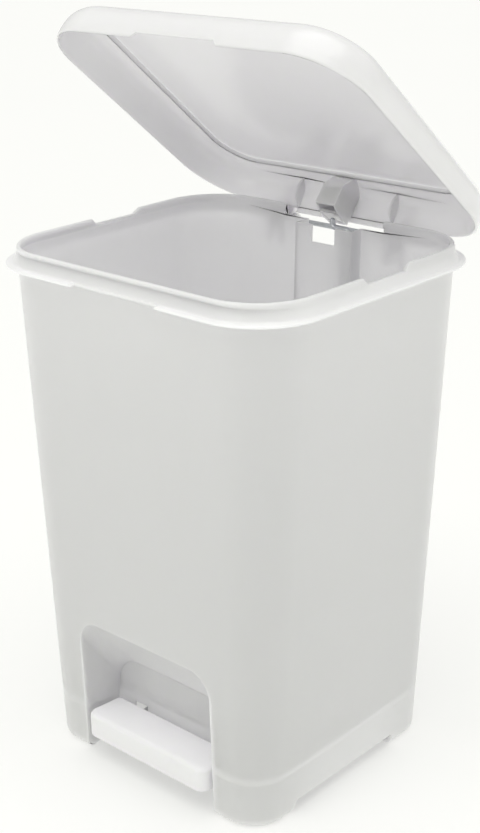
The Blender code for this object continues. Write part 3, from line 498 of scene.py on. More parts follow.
def plastic(name, colour, roughness, drift=0.03, dust=0.0, dust_reach=0.06, scuffs=0.0, grain=900.0,
            bump=0.02, coat=0.25, depth=0.015):
    """Moulded plastic that lets light through: tone drift, fine skin, dust near the floor, scuffs where
    it is trodden on. Depth is how far light goes into it."""
    if name in bpy.data.materials:
        return bpy.data.materials[name]
    settings = bpy.context.scene.trash_can_finish
    mat = bpy.data.materials.new(name)
    mat.use_nodes = True
    mat.diffuse_color = (*colour, 1.0)
    tree = mat.node_tree
    shader = tree.nodes["Principled BSDF"]
    skin = place_group(tree, moulded_skin(), color=(*colour, 1.0), drift=drift, roughness=roughness,
                       patchiness=0.10, grain_scale=grain, ripple=0.5)
    film = place_group(tree, floor_dust(), color=skin.outputs["Color"], dust_color=(*settings.dust, 1.0),
                       roughness=skin.outputs["Roughness"], reach=dust_reach, amount=dust)
    marks = place_group(tree, fine_scuffs(), scale=90.0, amount=scuffs)
    worn = math_node(tree, "MULTIPLY", marks.outputs["Mask"], 0.30)
    rough = math_node(tree, "ADD", film.outputs["Roughness"], worn)
    tree.links.new(rough, shader.inputs["Roughness"])
    darker = math_node(tree, "MULTIPLY", marks.outputs["Mask"], 0.12)
    colour_out = mix_colour(tree, darker, film.outputs["Color"], (0.45, 0.44, 0.43, 1.0))
    tree.links.new(colour_out, shader.inputs["Base Color"])
    height = math_node(tree, "SUBTRACT", skin.outputs["Height"], marks.outputs["Mask"])
    relief = tree.nodes.new("ShaderNodeBump")
    relief.inputs["Strength"].default_value = bump
    relief.inputs["Distance"].default_value = 0.0004
    tree.links.new(height, relief.inputs["Height"])
    tree.links.new(relief.outputs["Normal"], shader.inputs["Normal"])
    shader.subsurface_method = "RANDOM_WALK"
    shader.inputs["Subsurface Weight"].default_value = 1.0
    shader.inputs["Subsurface Radius"].default_value = (1.0, 0.97, 1.05)
    shader.inputs["Subsurface Scale"].default_value = depth
    shader.inputs["IOR"].default_value = 1.49
    shader.inputs["Coat Weight"].default_value = coat
    shader.inputs["Coat Roughness"].default_value = 0.12
    return mat


def zinc_plate(name, roughness, lines=(1.0, 1.0, 1.0)):
    """Zinc-plated steel: soft spangle, drawn lines along the wire and dull patches."""
    if name in bpy.data.materials:
        return bpy.data.materials[name]
    colour = tuple(bpy.context.scene.trash_can_finish.zinc)
    mat = bpy.data.materials.new(name)
    mat.use_nodes = True
    mat.diffuse_color = (*colour, 1.0)
    tree = mat.node_tree
    shader = tree.nodes["Principled BSDF"]
    where = tree.nodes.new("ShaderNodeTexCoord").outputs["Object"]
    mapping = tree.nodes.new("ShaderNodeMapping")
    mapping.inputs["Scale"].default_value = lines
    tree.links.new(where, mapping.inputs["Vector"])
    spangle = tree.nodes.new("ShaderNodeTexVoronoi")
    spangle.inputs["Scale"].default_value = 420.0
    tree.links.new(where, spangle.inputs["Vector"])
    drawn = noise_node(tree, 700.0, 3.0, mapping.outputs["Vector"], 0.6)
    dull = noise_node(tree, 70.0, 4.0, where, 0.6)
    tone = mix_colour(tree, math_node(tree, "MULTIPLY", spangle.outputs["Distance"], 0.6), (*colour, 1.0),
                      (*(0.80 * c for c in colour), 1.0))
    tone = mix_colour(tree, math_node(tree, "MULTIPLY", dull, 0.35), tone, (0.50, 0.51, 0.52, 1.0))
    tree.links.new(tone, shader.inputs["Base Color"])
    rough = math_node(tree, "ADD", math_node(tree, "MULTIPLY", dull, 0.22), roughness - 0.10)
    tree.links.new(rough, shader.inputs["Roughness"])
    relief = tree.nodes.new("ShaderNodeBump")
    relief.inputs["Strength"].default_value = 0.06
    relief.inputs["Distance"].default_value = 0.0002
    tree.links.new(drawn, relief.inputs["Height"])
    tree.links.new(relief.outputs["Normal"], shader.inputs["Normal"])
    shader.inputs["Metallic"].default_value = 1.0
    return mat


def body_white():
    finish = bpy.context.scene.trash_can_finish
    return plastic("Body White", tuple(finish.plastic), finish.gloss, drift=0.05, dust=0.12, dust_reach=0.05)


def lid_white_painted_shade():
    finish = bpy.context.scene.trash_can_finish
    # The lid's colour is 0.97 of the body's plastic: painted shade that darkens the whole lid so its shaded
    # underside reads dimmer; the real lid is the same white as the body.
    colour = tuple(0.97 * c for c in finish.plastic)
    return plastic("Lid White", colour, finish.gloss - 0.06, drift=0.04, bump=0.015, depth=0.006)


def tread_white():
    finish = bpy.context.scene.trash_can_finish
    return plastic("Tread White", tuple(finish.plastic), finish.gloss + 0.08, drift=0.05, dust=0.35,
                   dust_reach=0.055, scuffs=0.55, grain=700.0, bump=0.06, coat=0.1, depth=0.0008)


def inner_white():
    finish = bpy.context.scene.trash_can_finish
    return plastic("Inner White", tuple(finish.inner_plastic), 0.45, drift=0.06, dust=0.30, dust_reach=0.08,
                   grain=500.0, bump=0.10, coat=0.0, depth=0.0008)


# ---------------------------------------------------------------------------
# Bin body
# ---------------------------------------------------------------------------
def wall_ring(z, inset=0.0):
    t = z / LIP_BOTTOM
    width = BASE_WIDTH + (TOP_WIDTH - BASE_WIDTH) * t - 2 * inset
    depth = BASE_DEPTH + (TOP_DEPTH - BASE_DEPTH) * t - 2 * inset
    radius = BASE_RADIUS + (TOP_RADIUS - BASE_RADIUS) * t - inset
    return ring(width, depth, max(radius, 0.004), BASE_OFFSET * (1 - t), z)


def foot_rings(inset, steps=8):
    """Rounded lower edge of the feet."""
    quarter = arc(inset + FOOT_ROUND, FOOT_ROUND, FOOT_ROUND, 270, -90, steps)
    return [wall_ring(z, offset) for offset, z in quarter]


def bead_ring(grow, z):
    """Loop of the rolled top edge, grown outwards from its inner edge."""
    return ring(BEAD_WIDTH + 2 * grow, BEAD_DEPTH + 2 * grow, BEAD_RADIUS + grow, 0.0, z)


def band_ring(grow, z):
    return ring(BAND_WIDTH + 2 * grow, BAND_DEPTH + 2 * grow, BAND_RADIUS + grow, 0.0, z)


def lip_ring(inset, z):
    return ring(LIP_WIDTH - 2 * inset, LIP_DEPTH - 2 * inset, LIP_RADIUS - inset, 0.0, z)


def body_loft(wall):
    """Shell of the bin: up the outside, over the rim, down the inside and across the floor."""
    lip_top = LIP_BOTTOM + LIP_THICK
    rings = foot_rings(0.0)
    witness = ((0.0406, 0.0), (0.0411, 0.00012), (0.0416, 0.00012), (0.0421, 0.0))
    rings += [wall_ring(z, inset) for z, inset in witness]
    rings += [wall_ring(0.060), wall_ring(0.200), wall_ring(0.330), wall_ring(LIP_BOTTOM - 0.0024)]
    fillet = arc(0.0024, LIP_BOTTOM - 0.0024, 0.0024, 180, -90, 5)
    rings += [wall_ring(z, -out) for out, z in fillet[1:-1]]
    rings += [lip_ring(0.0060, LIP_BOTTOM)]
    edge = arc(0.0, LIP_BOTTOM + LIP_THICK / 2, LIP_THICK / 2, 270, 180, 8)
    rings += [lip_ring(LIP_THICK / 2 - out, z) for out, z in edge]
    rings += [band_ring(0.0018, lip_top + 0.00005), band_ring(0.0007, lip_top + 0.0004)]
    rings += [band_ring(0.0001, lip_top + 0.0011), band_ring(-0.0004, lip_top + 0.0022)]
    rings += [band_ring(-0.0019, 0.4425), band_ring(-0.0033, 0.4452), wall_ring(0.4468, -0.0003)]
    centre = RIM_HEIGHT - BEAD / 2
    rings += [bead_ring(BEAD / 2 + out, z) for out, z in arc(0.0, centre, BEAD / 2, 0, 180, 12)]
    rings += [bead_ring(0.0, 0.4455), wall_ring(0.4425, wall * 0.85), wall_ring(0.4395, wall)]
    rings += [wall_ring(z, wall) for z in (0.330, 0.200, 0.060)]
    corner = 0.005
    rings += [wall_ring(z, wall + inset) for inset, z in arc(corner, FLOOR_TOP + corner, corner, 180, 90, 6)]
    return loft("bin_shell", rings)


def arch_outline(half, low, top, radius, steps=16):
    points = [(-half, low)]
    points += arc(-half + radius, top - radius, radius, 180, -90, steps)
    points += arc(half - radius, top - radius, radius, 90, -90, steps)
    return points + [(half, low)]


def recess_rings(grow, low):
    """Loops of the foot recess from the front to its leaning back wall."""
    half, radius = RECESS_HALF + grow, RECESS_RADIUS + grow
    loops = []
    for y, top in ((-0.150, RECESS_TOP), (-0.1225, RECESS_TOP), (RECESS_BACK_HIGH, RECESS_CREASE)):
        loops.append([Vector((x, y, z)) for x, z in arch_outline(half, low, top + grow, radius)])
    slope = (RECESS_BACK_HIGH - RECESS_BACK_LOW) / RECESS_CREASE
    for point in loops[-1]:
        point.y = RECESS_BACK_HIGH + grow + slope * (point.z - grow - RECESS_CREASE)
    return loops


def body_steps(wall):
    """Cuts and joins that turn the plain shell into the bin body."""
    steps = []

    def step(operation, mesh, place=BIN):
        steps.append((operation, mesh, place))

    hollow = [wall_ring(0.0025, 0.0078), wall_ring(0.0045, 0.0045), wall_ring(0.0080, wall + 0.0003)]
    step(CUT, loft("under_hollow", hollow + [wall_ring(FLOOR_UNDER, wall)]))
    side = [(SKIRT_FRONT - 0.004, -0.001)] + arc(SKIRT_FRONT + 0.003, FOOT_HEIGHT - 0.003, 0.003, 165, -75, 4)
    side += arc(SKIRT_REAR - 0.002, FOOT_HEIGHT - 0.002, 0.002, 90, -90, 4) + [(SKIRT_REAR, -0.001)]
    step(CUT, prism("side_arch", side, "X", -0.16, 0.16))
    step(CUT, box("front_arch", -RECESS_HALF, RECESS_HALF, -0.16, 0.16, -0.001, FOOT_HEIGHT))
    guide = loft("shell_guide", foot_rings(0.0011) + [wall_ring(0.200, 0.0011)])
    recess = carve("recess_shell", loft("recess_shell", recess_rings(wall, 0.0)), BIN, [(KEEP, guide, BIN)])
    step(JOIN, recess, Matrix.Identity(4))
    step(CUT, loft("recess_space", recess_rings(0.0, -0.001)))
    step(CUT, box("lower_gap", -RECESS_HALF, RECESS_HALF, -0.090, -0.070, -0.001, FOOT_HEIGHT))
    for sign, label in SIDES:
        centre = sign * ARM_X
        step(CUT, box("arm_slot_" + label, centre - 0.0078, centre + 0.0078, -0.090, -0.070, 0.005, 0.0375))
    step(JOIN, box("groove_shell", -GROOVE_HALF - wall, GROOVE_HALF + wall, -GROOVE_DEPTH - wall, -0.0011,
                   0.0415, NOTCH_FLOOR + 0.0004), REAR)
    step(CUT, box("groove_space", -GROOVE_HALF, GROOVE_HALF, -GROOVE_DEPTH, 0.006, -0.010, 0.460), REAR)
    step(CUT, box("notch_band", -NOTCH_HALF, NOTCH_HALF, 0.1291, 0.1500, 0.4300, 0.4600))
    step(CUT, box("notch_wall", -NOTCH_HALF, NOTCH_HALF, 0.1000, 0.1400, NOTCH_FLOOR, 0.4600))
    step(CUT, box("pocket_port", -0.0125, 0.0125, 0.1080, 0.1190, 0.4250, 0.4600))
    dips = [(-0.0220, 0.4515), (-0.0170, 0.4448), (0.0290, 0.4448), (0.0380, 0.4515)]
    step(CUT, prism("rim_dips", dips, "X", -0.17, 0.17))
    step(CUT, box("finger_gap", -0.046, 0.046, -0.150, -0.1322, 0.4330, 0.4385))
    ear = [(0.1275, 0.4085), (0.1478, 0.4262)] + arc(HINGE_Y, HINGE_Z, EAR_RADIUS, -64, 214, 24)
    ear += [(0.1385, 0.4348), (0.1275, 0.4348)]
    for sign, label in SIDES:
        for x in (EAR_INNER, EAR_OUTER - EAR_THICK):
            x0, x1 = sorted((sign * x, sign * (x + EAR_THICK)))
            step(JOIN, prism("body_ear_%s_%d" % (label, x * 1000), ear, "X", x0, x1))
        x0, x1 = sorted((sign * BLOCK_IN, sign * BLOCK_OUT))
        step(JOIN, box("axle_block_" + label, x0, x1, PIVOT_Y - BLOCK_HALF, PIVOT_Y + BLOCK_HALF,
                       PIVOT_Z + TOUCH_GAP / 2, FLOOR_UNDER + 0.0008))
    step(CUT, bore("axle_bore", "X", (0, PIVOT_Y, PIVOT_Z), AXLE_RADIUS + BORE_GAP))
    step(CUT, bore("wire_bore", "X", (0, HINGE_Y, HINGE_Z), WIRE_RADIUS + BORE_GAP))
    return steps


class TRASHCAN_OT_body(bpy.types.Operator):
    """Build the bin body: shell, rim, foot recess, rear groove, hinge ears and axle blocks"""

    bl_idname = "trashcan.body"
    bl_label = "Bin Body"

    def execute(self, context):
        wall = shape().wall
        mesh = carve("bin_body", body_loft(wall), BIN, body_steps(wall), edge=shape().soft_edge)
        add_piece("bin_body", mesh, body_white())
        return {"FINISHED"}


# ---------------------------------------------------------------------------
# Lid, drawn closed and turned open about the hinge
# ---------------------------------------------------------------------------
def lid_ring(inset, rise, shrink=0.80):
    """Loop of the lid, pulled in from its lower edge and raised above it."""
    loop = ring(LID_WIDTH - 2 * inset, LID_DEPTH - 2 * inset, LID_RADIUS - inset * shrink, LID_OFFSET, 0.0)
    rear = LID_OFFSET + LID_DEPTH / 2
    for point in loop:
        point.z = LID_BOTTOM + rise * (1 + LID_LEAN * (rear - point.y) / LID_DEPTH)
    return loop


def lid_loft(skin):
    outside = ((0.0004, 0.0006), (0.0001, 0.0016), (0.0002, 0.0045), (0.0004, 0.0090), (0.0018, 0.0155),
               (0.0048, 0.0212), (0.0095, 0.0258), (0.0160, 0.0290), (0.0225, 0.0305), (0.0268, 0.0311))
    inside = ((0.0205, 0.0278), (0.0172, 0.0268), (0.0112, 0.0239), (0.0067, 0.0199), (0.0040, 0.0148),
              (0.0026, 0.0088), (skin, 0.0030), (skin, 0.0008))
    under = 0.0311 - skin
    rib_inset, rib_depth = 0.0228, 0.0024
    pairs = [(rib_inset + 0.0060, LID_RISE - skin), (rib_inset + 0.0017, LID_RISE - skin)]
    pairs += [(rib_inset + 0.0015, LID_RISE - skin - 0.0003)]
    pairs += [(rib_inset + 0.0015, under - rib_depth + 0.0004)]
    pairs += [(rib_inset + 0.0011, under - rib_depth), (rib_inset + 0.0004, under - rib_depth)]
    pairs += [(rib_inset, under - rib_depth + 0.0004), (rib_inset, under - 0.0010)]
    pairs += [(rib_inset - 0.0006, under)]
    pairs += smooth_line(inside, 4)
    pairs += [(skin - 0.0004, 0.0), (0.0012, 0.0)]
    pairs += smooth_line(outside, 4)
    pairs += [(0.0272, 0.0313), (0.0280, 0.0320), (0.0286, 0.0324), (0.0294, LID_RISE), (0.0340, LID_RISE)]
    return loft("lid_shell", [lid_ring(inset, rise) for inset, rise in pairs])


def lid_steps():
    steps = []

    def step(operation, mesh):
        steps.append((operation, mesh, LID))

    block = [(POCKET_FRONT, POCKET_MOUTH), (POCKET_FRONT, 0.4526), (0.1108, 0.4630), (0.1180, 0.4680)]
    block += [(POCKET_REAR, 0.4600), (POCKET_REAR, POCKET_LOW), (POCKET_STEP, POCKET_LOW)]
    step(JOIN, prism("pocket_block", block, "X", -POCKET_HALF, POCKET_HALF))
    inner = POCKET_HALF - POCKET_WALL
    step(CUT, box("pocket_space", -inner, inner, POCKET_FRONT + POCKET_WALL, POCKET_REAR - POCKET_WALL,
                  0.4200, POCKET_CEILING))
    step(JOIN, box("pocket_web", -inner - 0.0010, inner + 0.0010, WEB_FRONT, WEB_REAR, WEB_LOW, WEB_TOP))
    apron_half = FIN_X + FIN_THICK / 2 - 0.0003
    step(JOIN, box("rear_apron", -apron_half, apron_half, 0.1341, 0.1358, APRON_LOW, 0.4420))
    fin = smooth_line(((0.1240, 0.4640), (0.1222, 0.4590), (0.1213, 0.4545), (0.1216, 0.4500),
                       (0.1235, 0.4455), (0.1270, 0.4420), (0.1320, 0.4395), (0.1350, 0.4385)), 3)
    fin += [(0.1333, 0.4530), (0.1302, 0.4590)]
    ear = [(0.1350, 0.4402), (0.1391, 0.4385), (HINGE_Y - EAR_RADIUS, HINGE_Z + 0.0010)]
    ear += arc(HINGE_Y, HINGE_Z, EAR_RADIUS, 180, 200, 24) + [(0.1450, 0.4490), (0.1330, 0.4580)]
    ear_in, ear_out = EAR_INNER + EAR_THICK + 0.0004, EAR_OUTER - EAR_THICK - 0.0004
    for sign, label in SIDES:
        x = sign * FIN_X
        step(JOIN, prism("fin_" + label, fin, "X", x - FIN_THICK / 2, x + FIN_THICK / 2))
        x0, x1 = sorted((sign * ear_in, sign * ear_out))
        step(JOIN, prism("lid_ear_" + label, ear, "X", x0, x1))
    step(CUT, bore("lid_bore", "X", (0, HINGE_Y, HINGE_Z), WIRE_RADIUS + BORE_GAP))
    thumb = [(-0.0450, 0.4370), (-0.0400, 0.4422), (0.0400, 0.4422), (0.0450, 0.4370)]
    step(CUT, prism("thumb_gap", thumb, "Y", -0.150, -0.120))
    return steps


class TRASHCAN_OT_lid(bpy.types.Operator):
    """Build the lid: domed shell, underside rib, rod pocket, fins and hinge ears"""

    bl_idname = "trashcan.lid"
    bl_label = "Lid"

    def execute(self, context):
        mesh = carve("lid", lid_loft(shape().wall), LID, lid_steps(), edge=shape().soft_edge * 0.75)
        add_piece("lid", mesh, lid_white_painted_shade())
        return {"FINISHED"}


# ---------------------------------------------------------------------------
# Wires, caps and screws
# ---------------------------------------------------------------------------
def wire_profile(half, radius, end=0.0006):
    """Straight wire with rounded ends."""
    left = arc(-half + end, radius - end, end, 180, -90, 4)
    return left + [(-along, r) for along, r in reversed(left)]


def cap_mesh(name, centre, hole, outer, depth, sign):
    """Push cap: short skirt, blind bore and a pressed dome with a ring groove."""
    profile = [(0.0020, 0.00005), (0.0020, hole), (0.0002, hole), (0.0, hole + 0.0002)]
    profile += [(0.0, outer - 0.0003), (0.0003, outer), (depth * 0.25, outer), (depth * 0.30, outer * 0.95)]
    profile += [(depth * 0.38, outer * 0.95), (depth * 0.43, outer), (depth * 0.55, outer * 0.99)]
    profile += [(depth * 0.70, outer * 0.93), (depth * 0.85, outer * 0.76), (depth * 0.95, outer * 0.52)]
    profile += [(depth, outer * 0.22)]
    return turned(name, "X", centre, [(sign * a, r) for a, r in profile])


def screw_mesh(name, axis, centre, sign, shank):
    """Pan-head screw with a cross recess and a cut thread."""
    head = 0.0038
    profile = [(-0.0022, head * 0.30), (-0.00215, head * 0.55), (-0.0019, head * 0.76)]
    profile += [(-0.0014, head * 0.91), (-0.0008, head * 0.985), (-0.0003, head)]
    profile += [(0.0, head - 0.0002), (0.0, SCREW_RADIUS * 0.9)]
    pitch, point = 0.0012, 0.0020
    along = 0.0012
    while along < shank - point:
        profile += [(along, SCREW_RADIUS * 0.80), (along + pitch * 0.45, SCREW_RADIUS)]
        profile += [(along + pitch * 0.6, SCREW_RADIUS)]
        along += pitch
    profile += [(shank - point * 0.5, SCREW_RADIUS * 0.7), (shank, SCREW_RADIUS * 0.25)]
    mesh = turned(name, axis, (0, 0, 0), [(sign * a, r) for a, r in profile])
    cross = []
    deep, wing, slot = 0.0012, 0.0021, 0.00042
    for quarter in (False, True):
        long_side, short_side = (wing, slot) if quarter else (slot, wing)
        low, high = sorted((sign * -0.003, sign * (deep - 0.0022)))
        if axis == "Y":
            cross.append((CUT, box(name + "_slot", -long_side, long_side, low, high, -short_side, short_side),
                          Matrix.Identity(4)))
        else:
            cross.append((CUT, box(name + "_slot", -long_side, long_side, -short_side, short_side, low, high),
                          Matrix.Identity(4)))
    mesh = carve(name, mesh, Matrix.Identity(4), cross)
    mesh.transform(Matrix.Translation(centre))
    return mesh


class TRASHCAN_OT_hinge(bpy.types.Operator):
    """Build the hinge wire and its push caps"""

    bl_idname = "trashcan.hinge"
    bl_label = "Hinge Wire"

    def execute(self, context):
        centre = (0, HINGE_Y, HINGE_Z)
        wire = turned("hinge_wire", "X", centre, wire_profile(WIRE_HALF, WIRE_RADIUS))
        wire = carve("hinge_wire", wire, BIN)
        add_piece("hinge_wire", wire, zinc_plate("Hinge Zinc", 0.32, (0.03, 1.0, 1.0)))
        for sign, label in SIDES:
            node = "hinge_cap_" + label
            place = (sign * (WIRE_HALF - 0.0015), HINGE_Y, HINGE_Z)
            cap = cap_mesh(node, place, WIRE_RADIUS + BORE_GAP, 0.0048, 0.0046, sign)
            add_piece(node, carve(node, cap, BIN), zinc_plate("Cap Zinc", 0.36), sharp=50.0)
        return {"FINISHED"}


# ---------------------------------------------------------------------------
# Push rod, its collars and its guide clips
# ---------------------------------------------------------------------------
def rod_path():
    points = [Vector((ROD_SIDE, 0, z)) for z in (ROD_FOOT, 0.100, 0.200, 0.300, 0.400)]
    for x, z in arc(ROD_SIDE - ROD_BEND, ROD_CRANK - ROD_BEND, ROD_BEND, 0, 90, 12):
        points.append(Vector((x, 0, z)))
    for x, z in arc(ROD_TOP_SIDE + ROD_BEND, ROD_CRANK + ROD_BEND, ROD_BEND, 270, -90, 12):
        points.append(Vector((x, 0, z)))
    return points + [Vector((ROD_TOP_SIDE, 0, ROD_TIP - ROD_RADIUS))]


def pipe(name, points, radius, steps):
    """Round wire along a path in the XZ plane, with a rounded end at the top and a chamfer at the foot."""
    def loop(point, along, scale):
        side = Vector((0, 1, 0))
        over = along.cross(side).normalized()
        angles = [math.tau * j / steps for j in range(steps)]
        return [point + (side * math.cos(a) + over * math.sin(a)) * radius * scale for a in angles]

    loops = []
    for k, point in enumerate(points):
        before = points[max(k - 1, 0)]
        after = points[min(k + 1, len(points) - 1)]
        along = (after - before).normalized()
        if k == 0:
            loops.append(loop(point, along, 0.82))
            point = point + along * 0.0005
        loops.append(loop(point, along, 1.0))
    for k in range(1, 6):
        a = math.radians(16 * k)
        loops.append(loop(points[-1] + along * radius * math.sin(a), along, math.cos(a)))
    return loft(name, loops)


def washer(name, centre, hole, radius, thick, chamfer=0.0004):
    def build(bm):
        steps = shape().round_steps
        loops = [(hole + 0.0002, 0.0), (radius - chamfer, 0.0), (radius, chamfer), (radius, thick - chamfer)]
        loops += [(radius - chamfer, thick), (hole + 0.0002, thick), (hole, thick - 0.0002), (hole, 0.0002)]
        rows = [[bm.verts.new(Vector(centre) + Vector((r * math.cos(math.tau * k / steps),
                                                       r * math.sin(math.tau * k / steps), z)))
                 for k in range(steps)] for r, z in loops]
        for low, high in zip(rows, rows[1:] + rows[:1]):
            for k in range(steps):
                j = (k + 1) % steps
                bm.faces.new((low[k], low[j], high[j], high[k]))
    return mesh_from(name, build)


class TRASHCAN_OT_rod(bpy.types.Operator):
    """Build the push rod, its collar and keeper, and the guide clips with their screws"""

    bl_idname = "trashcan.rod"
    bl_label = "Push Rod"

    def execute(self, context):
        rod = pipe("push_rod", rod_path(), ROD_RADIUS, shape().round_steps // 2 * 2)
        rod.transform(Matrix.Translation((0, -ROD_DEPTH, 0)))
        add_piece("push_rod", carve("push_rod", rod, REAR), zinc_plate("Rod Zinc", 0.30, (1.0, 1.0, 0.03)))

        def along_groove(z):
            return (z - ROD_DEPTH * math.sin(TILT)) / math.cos(TILT)

        bar = ARM_THICK / 2 - 0.0003
        for node, low, thick in (("rod_collar", BAR_Z + bar + 0.0012, 0.0031),
                                 ("rod_keeper", BAR_Z - bar - 0.0028, 0.0020)):
            centre = (ROD_SIDE, -ROD_DEPTH, along_groove(low))
            ring_mesh = washer(node, centre, ROD_RADIUS + BORE_GAP, 0.0056, thick)
            add_piece(node, carve(node, ring_mesh, REAR), zinc_plate("Collar Zinc", 0.40))
        back = -GROOVE_DEPTH + TOUCH_GAP
        for label, z in CLIP_Z.items():
            outline = [(0.0020, back), (0.0282, back), (0.0282, -0.0025), (0.0265, -0.0008)]
            outline += [(0.0165, -0.0008), (0.0145, -0.0025), (0.0145, -0.0092), (0.0020, -0.0092)]
            clip = prism("rod_clip_" + label, outline, "Z", z - 0.006, z + 0.006)
            rod_way = bore("clip_bore", "Z", (ROD_SIDE, -ROD_DEPTH, z), ROD_RADIUS + BORE_GAP, 0.02)
            screw_way = bore("clip_way", "Y", (CLIP_SCREW_X, 0, z), SCREW_RADIUS + BORE_GAP, 0.03)
            steps = [(CUT, rod_way, REAR), (CUT, screw_way, REAR)]
            clip = carve("rod_clip_" + label, clip, REAR, steps, edge=0.0005)
            add_piece("rod_clip_" + label, clip, inner_white())
            node = "clip_screw_" + label
            screw = screw_mesh(node, "Y", (CLIP_SCREW_X, -0.0092 + TOUCH_GAP, z), -1, 0.0068)
            add_piece(node, carve(node, screw, REAR), zinc_plate("Screw Zinc", 0.33))
        return {"FINISHED"}


# ---------------------------------------------------------------------------
# Pedal: lever under the floor, tread in the recess, axle, brackets and screws
# ---------------------------------------------------------------------------
def line_z(y):
    for (y0, z0), (y1, z1) in zip(ARM_LINE, ARM_LINE[1:]):
        if y <= y1:
            return z0 + (z1 - z0) * (y - y0) / (y1 - y0)
    return ARM_LINE[-1][1]


def slab(name, stations, thick=ARM_THICK):
    """Flat bar that follows the lever's side line: stations are (y, left x, right x)."""
    loops = []
    for y, left, right in stations:
        low, high = line_z(y) - thick / 2, line_z(y) + thick / 2
        loops.append([Vector((left, y, low)), Vector((right, y, low)), Vector((right, y, high)),
                      Vector((left, y, high))])
    return loft(name, loops)


def arm_stations(sign):
    rows = []
    for y, centre in ((-0.1180, ARM_X), (-0.0930, ARM_X), (-0.0800, ARM_X), (PIVOT_Y, ARM_X),
                      (0.0000, ARM_X), (0.0950, 0.0160), (0.1000, 0.0160)):
        rows.append((y, *sorted((sign * (centre - ARM_HALF), sign * (centre + ARM_HALF)))))
    return rows


def lever_steps():
    def bar(name, y0, y1, half, thin):
        return JOIN, slab(name, [(y0, -half, half), (y1, -half, half)], ARM_THICK - thin), BIN

    steps = [(JOIN, slab("arm_right", arm_stations(1)), BIN), bar("rear_bar", 0.0920, 0.1105, 0.0278, 0.0006)]
    steps += [bar("front_bar", -0.1160, -0.0950, 0.050, 0.0010)]
    steps += [bar("mid_bar", 0.0300, 0.0400, 0.033, 0.0010)]
    for sign, label in SIDES:
        centre = (sign * ARM_X, PIVOT_Y, PIVOT_Z)
        hub = turned("hub_" + label, "X", centre, [(-ARM_HALF, 0.0065), (ARM_HALF, 0.0065)])
        steps.append((JOIN, hub, BIN))
    steps.append((CUT, bore("hub_bore", "X", (0, PIVOT_Y, PIVOT_Z), AXLE_RADIUS + BORE_GAP), BIN))
    rod_y = REAR_BASE_Y + BAR_Z * math.tan(TILT) - ROD_DEPTH / math.cos(TILT)
    steps.append((CUT, bore("rod_hole", "Z", (ROD_SIDE, rod_y, BAR_Z), 0.0043, 0.02), BIN))
    for sign, label in SIDES:
        centre = (sign * ARM_X, TREAD_SCREW_Y, 0.0255)
        hole = bore("tread_hole_" + label, "Z", centre, SCREW_RADIUS + BORE_GAP, 0.012)
        steps.append((CUT, hole, BIN))
    return steps


def tread_loop(inset, z_front, z_rear):
    half, radius = TREAD_HALF - inset, TREAD_RADIUS - inset * 0.6
    y0, y1 = TREAD_FRONT + inset, TREAD_REAR - inset
    small, steps = 0.0030, 12
    flat = arc(half - small, y1 - small, small, 0, 90, steps)
    flat += arc(-half + small, y1 - small, small, 90, 90, steps)
    flat += arc(-half + radius, y0 + radius, radius, 180, 90, steps)
    flat += arc(half - radius, y0 + radius, radius, 270, 90, steps)
    slope = (z_rear - z_front) / (TREAD_REAR - TREAD_FRONT)
    return [Vector((x, y, z_front + slope * (y - TREAD_FRONT))) for x, y in flat]


def tread_loft():
    """Shallow tray turned upside down, with a soft top edge."""
    front, rear, low = TREAD_TOP_FRONT, TREAD_TOP_REAR, TREAD_BOTTOM
    rings = [tread_loop(TREAD_WALL + 0.0020, front - TREAD_WALL, rear - TREAD_WALL)]
    rings += [tread_loop(TREAD_WALL + 0.0004, front - TREAD_WALL - 0.0006, rear - TREAD_WALL - 0.0006)]
    rings += [tread_loop(TREAD_WALL, low + 0.0005, low + 0.0065)]
    rings += [tread_loop(TREAD_WALL - 0.0004, low, low + 0.006)]
    rings += [tread_loop(0.0007, low, low + 0.006), tread_loop(0.0002, low + 0.0003, low + 0.0063)]
    rings += [tread_loop(0.0, low + 0.0010, low + 0.0070)]
    edge = 0.0044
    for out, up in arc(edge, -edge, edge, 180, -90, 10):
        rings.append(tread_loop(out, front + up, rear + up))
    rings.append(tread_loop(0.0090, front, rear))
    return loft("pedal_tread", rings)


def tread_steps():
    steps = []
    boss_foot = line_z(TREAD_SCREW_Y) + ARM_THICK / 2 + TOUCH_GAP
    for sign, label in SIDES:
        centre = (sign * ARM_X, TREAD_SCREW_Y, 0)
        boss = turned("boss_" + label, "Z", centre, [(boss_foot, 0.0048), (0.0394, 0.0048)])
        hole = SCREW_RADIUS + BORE_GAP
        core = turned("core_" + label, "Z", centre, [(0.020, hole), (0.0365, hole)])
        way = box("way_" + label, centre[0] - 0.0076, centre[0] + 0.0076, -0.0900, -0.0800, 0.0150, 0.0295)
        steps += [(JOIN, boss, BIN), (CUT, core, BIN), (CUT, way, BIN)]
    return steps


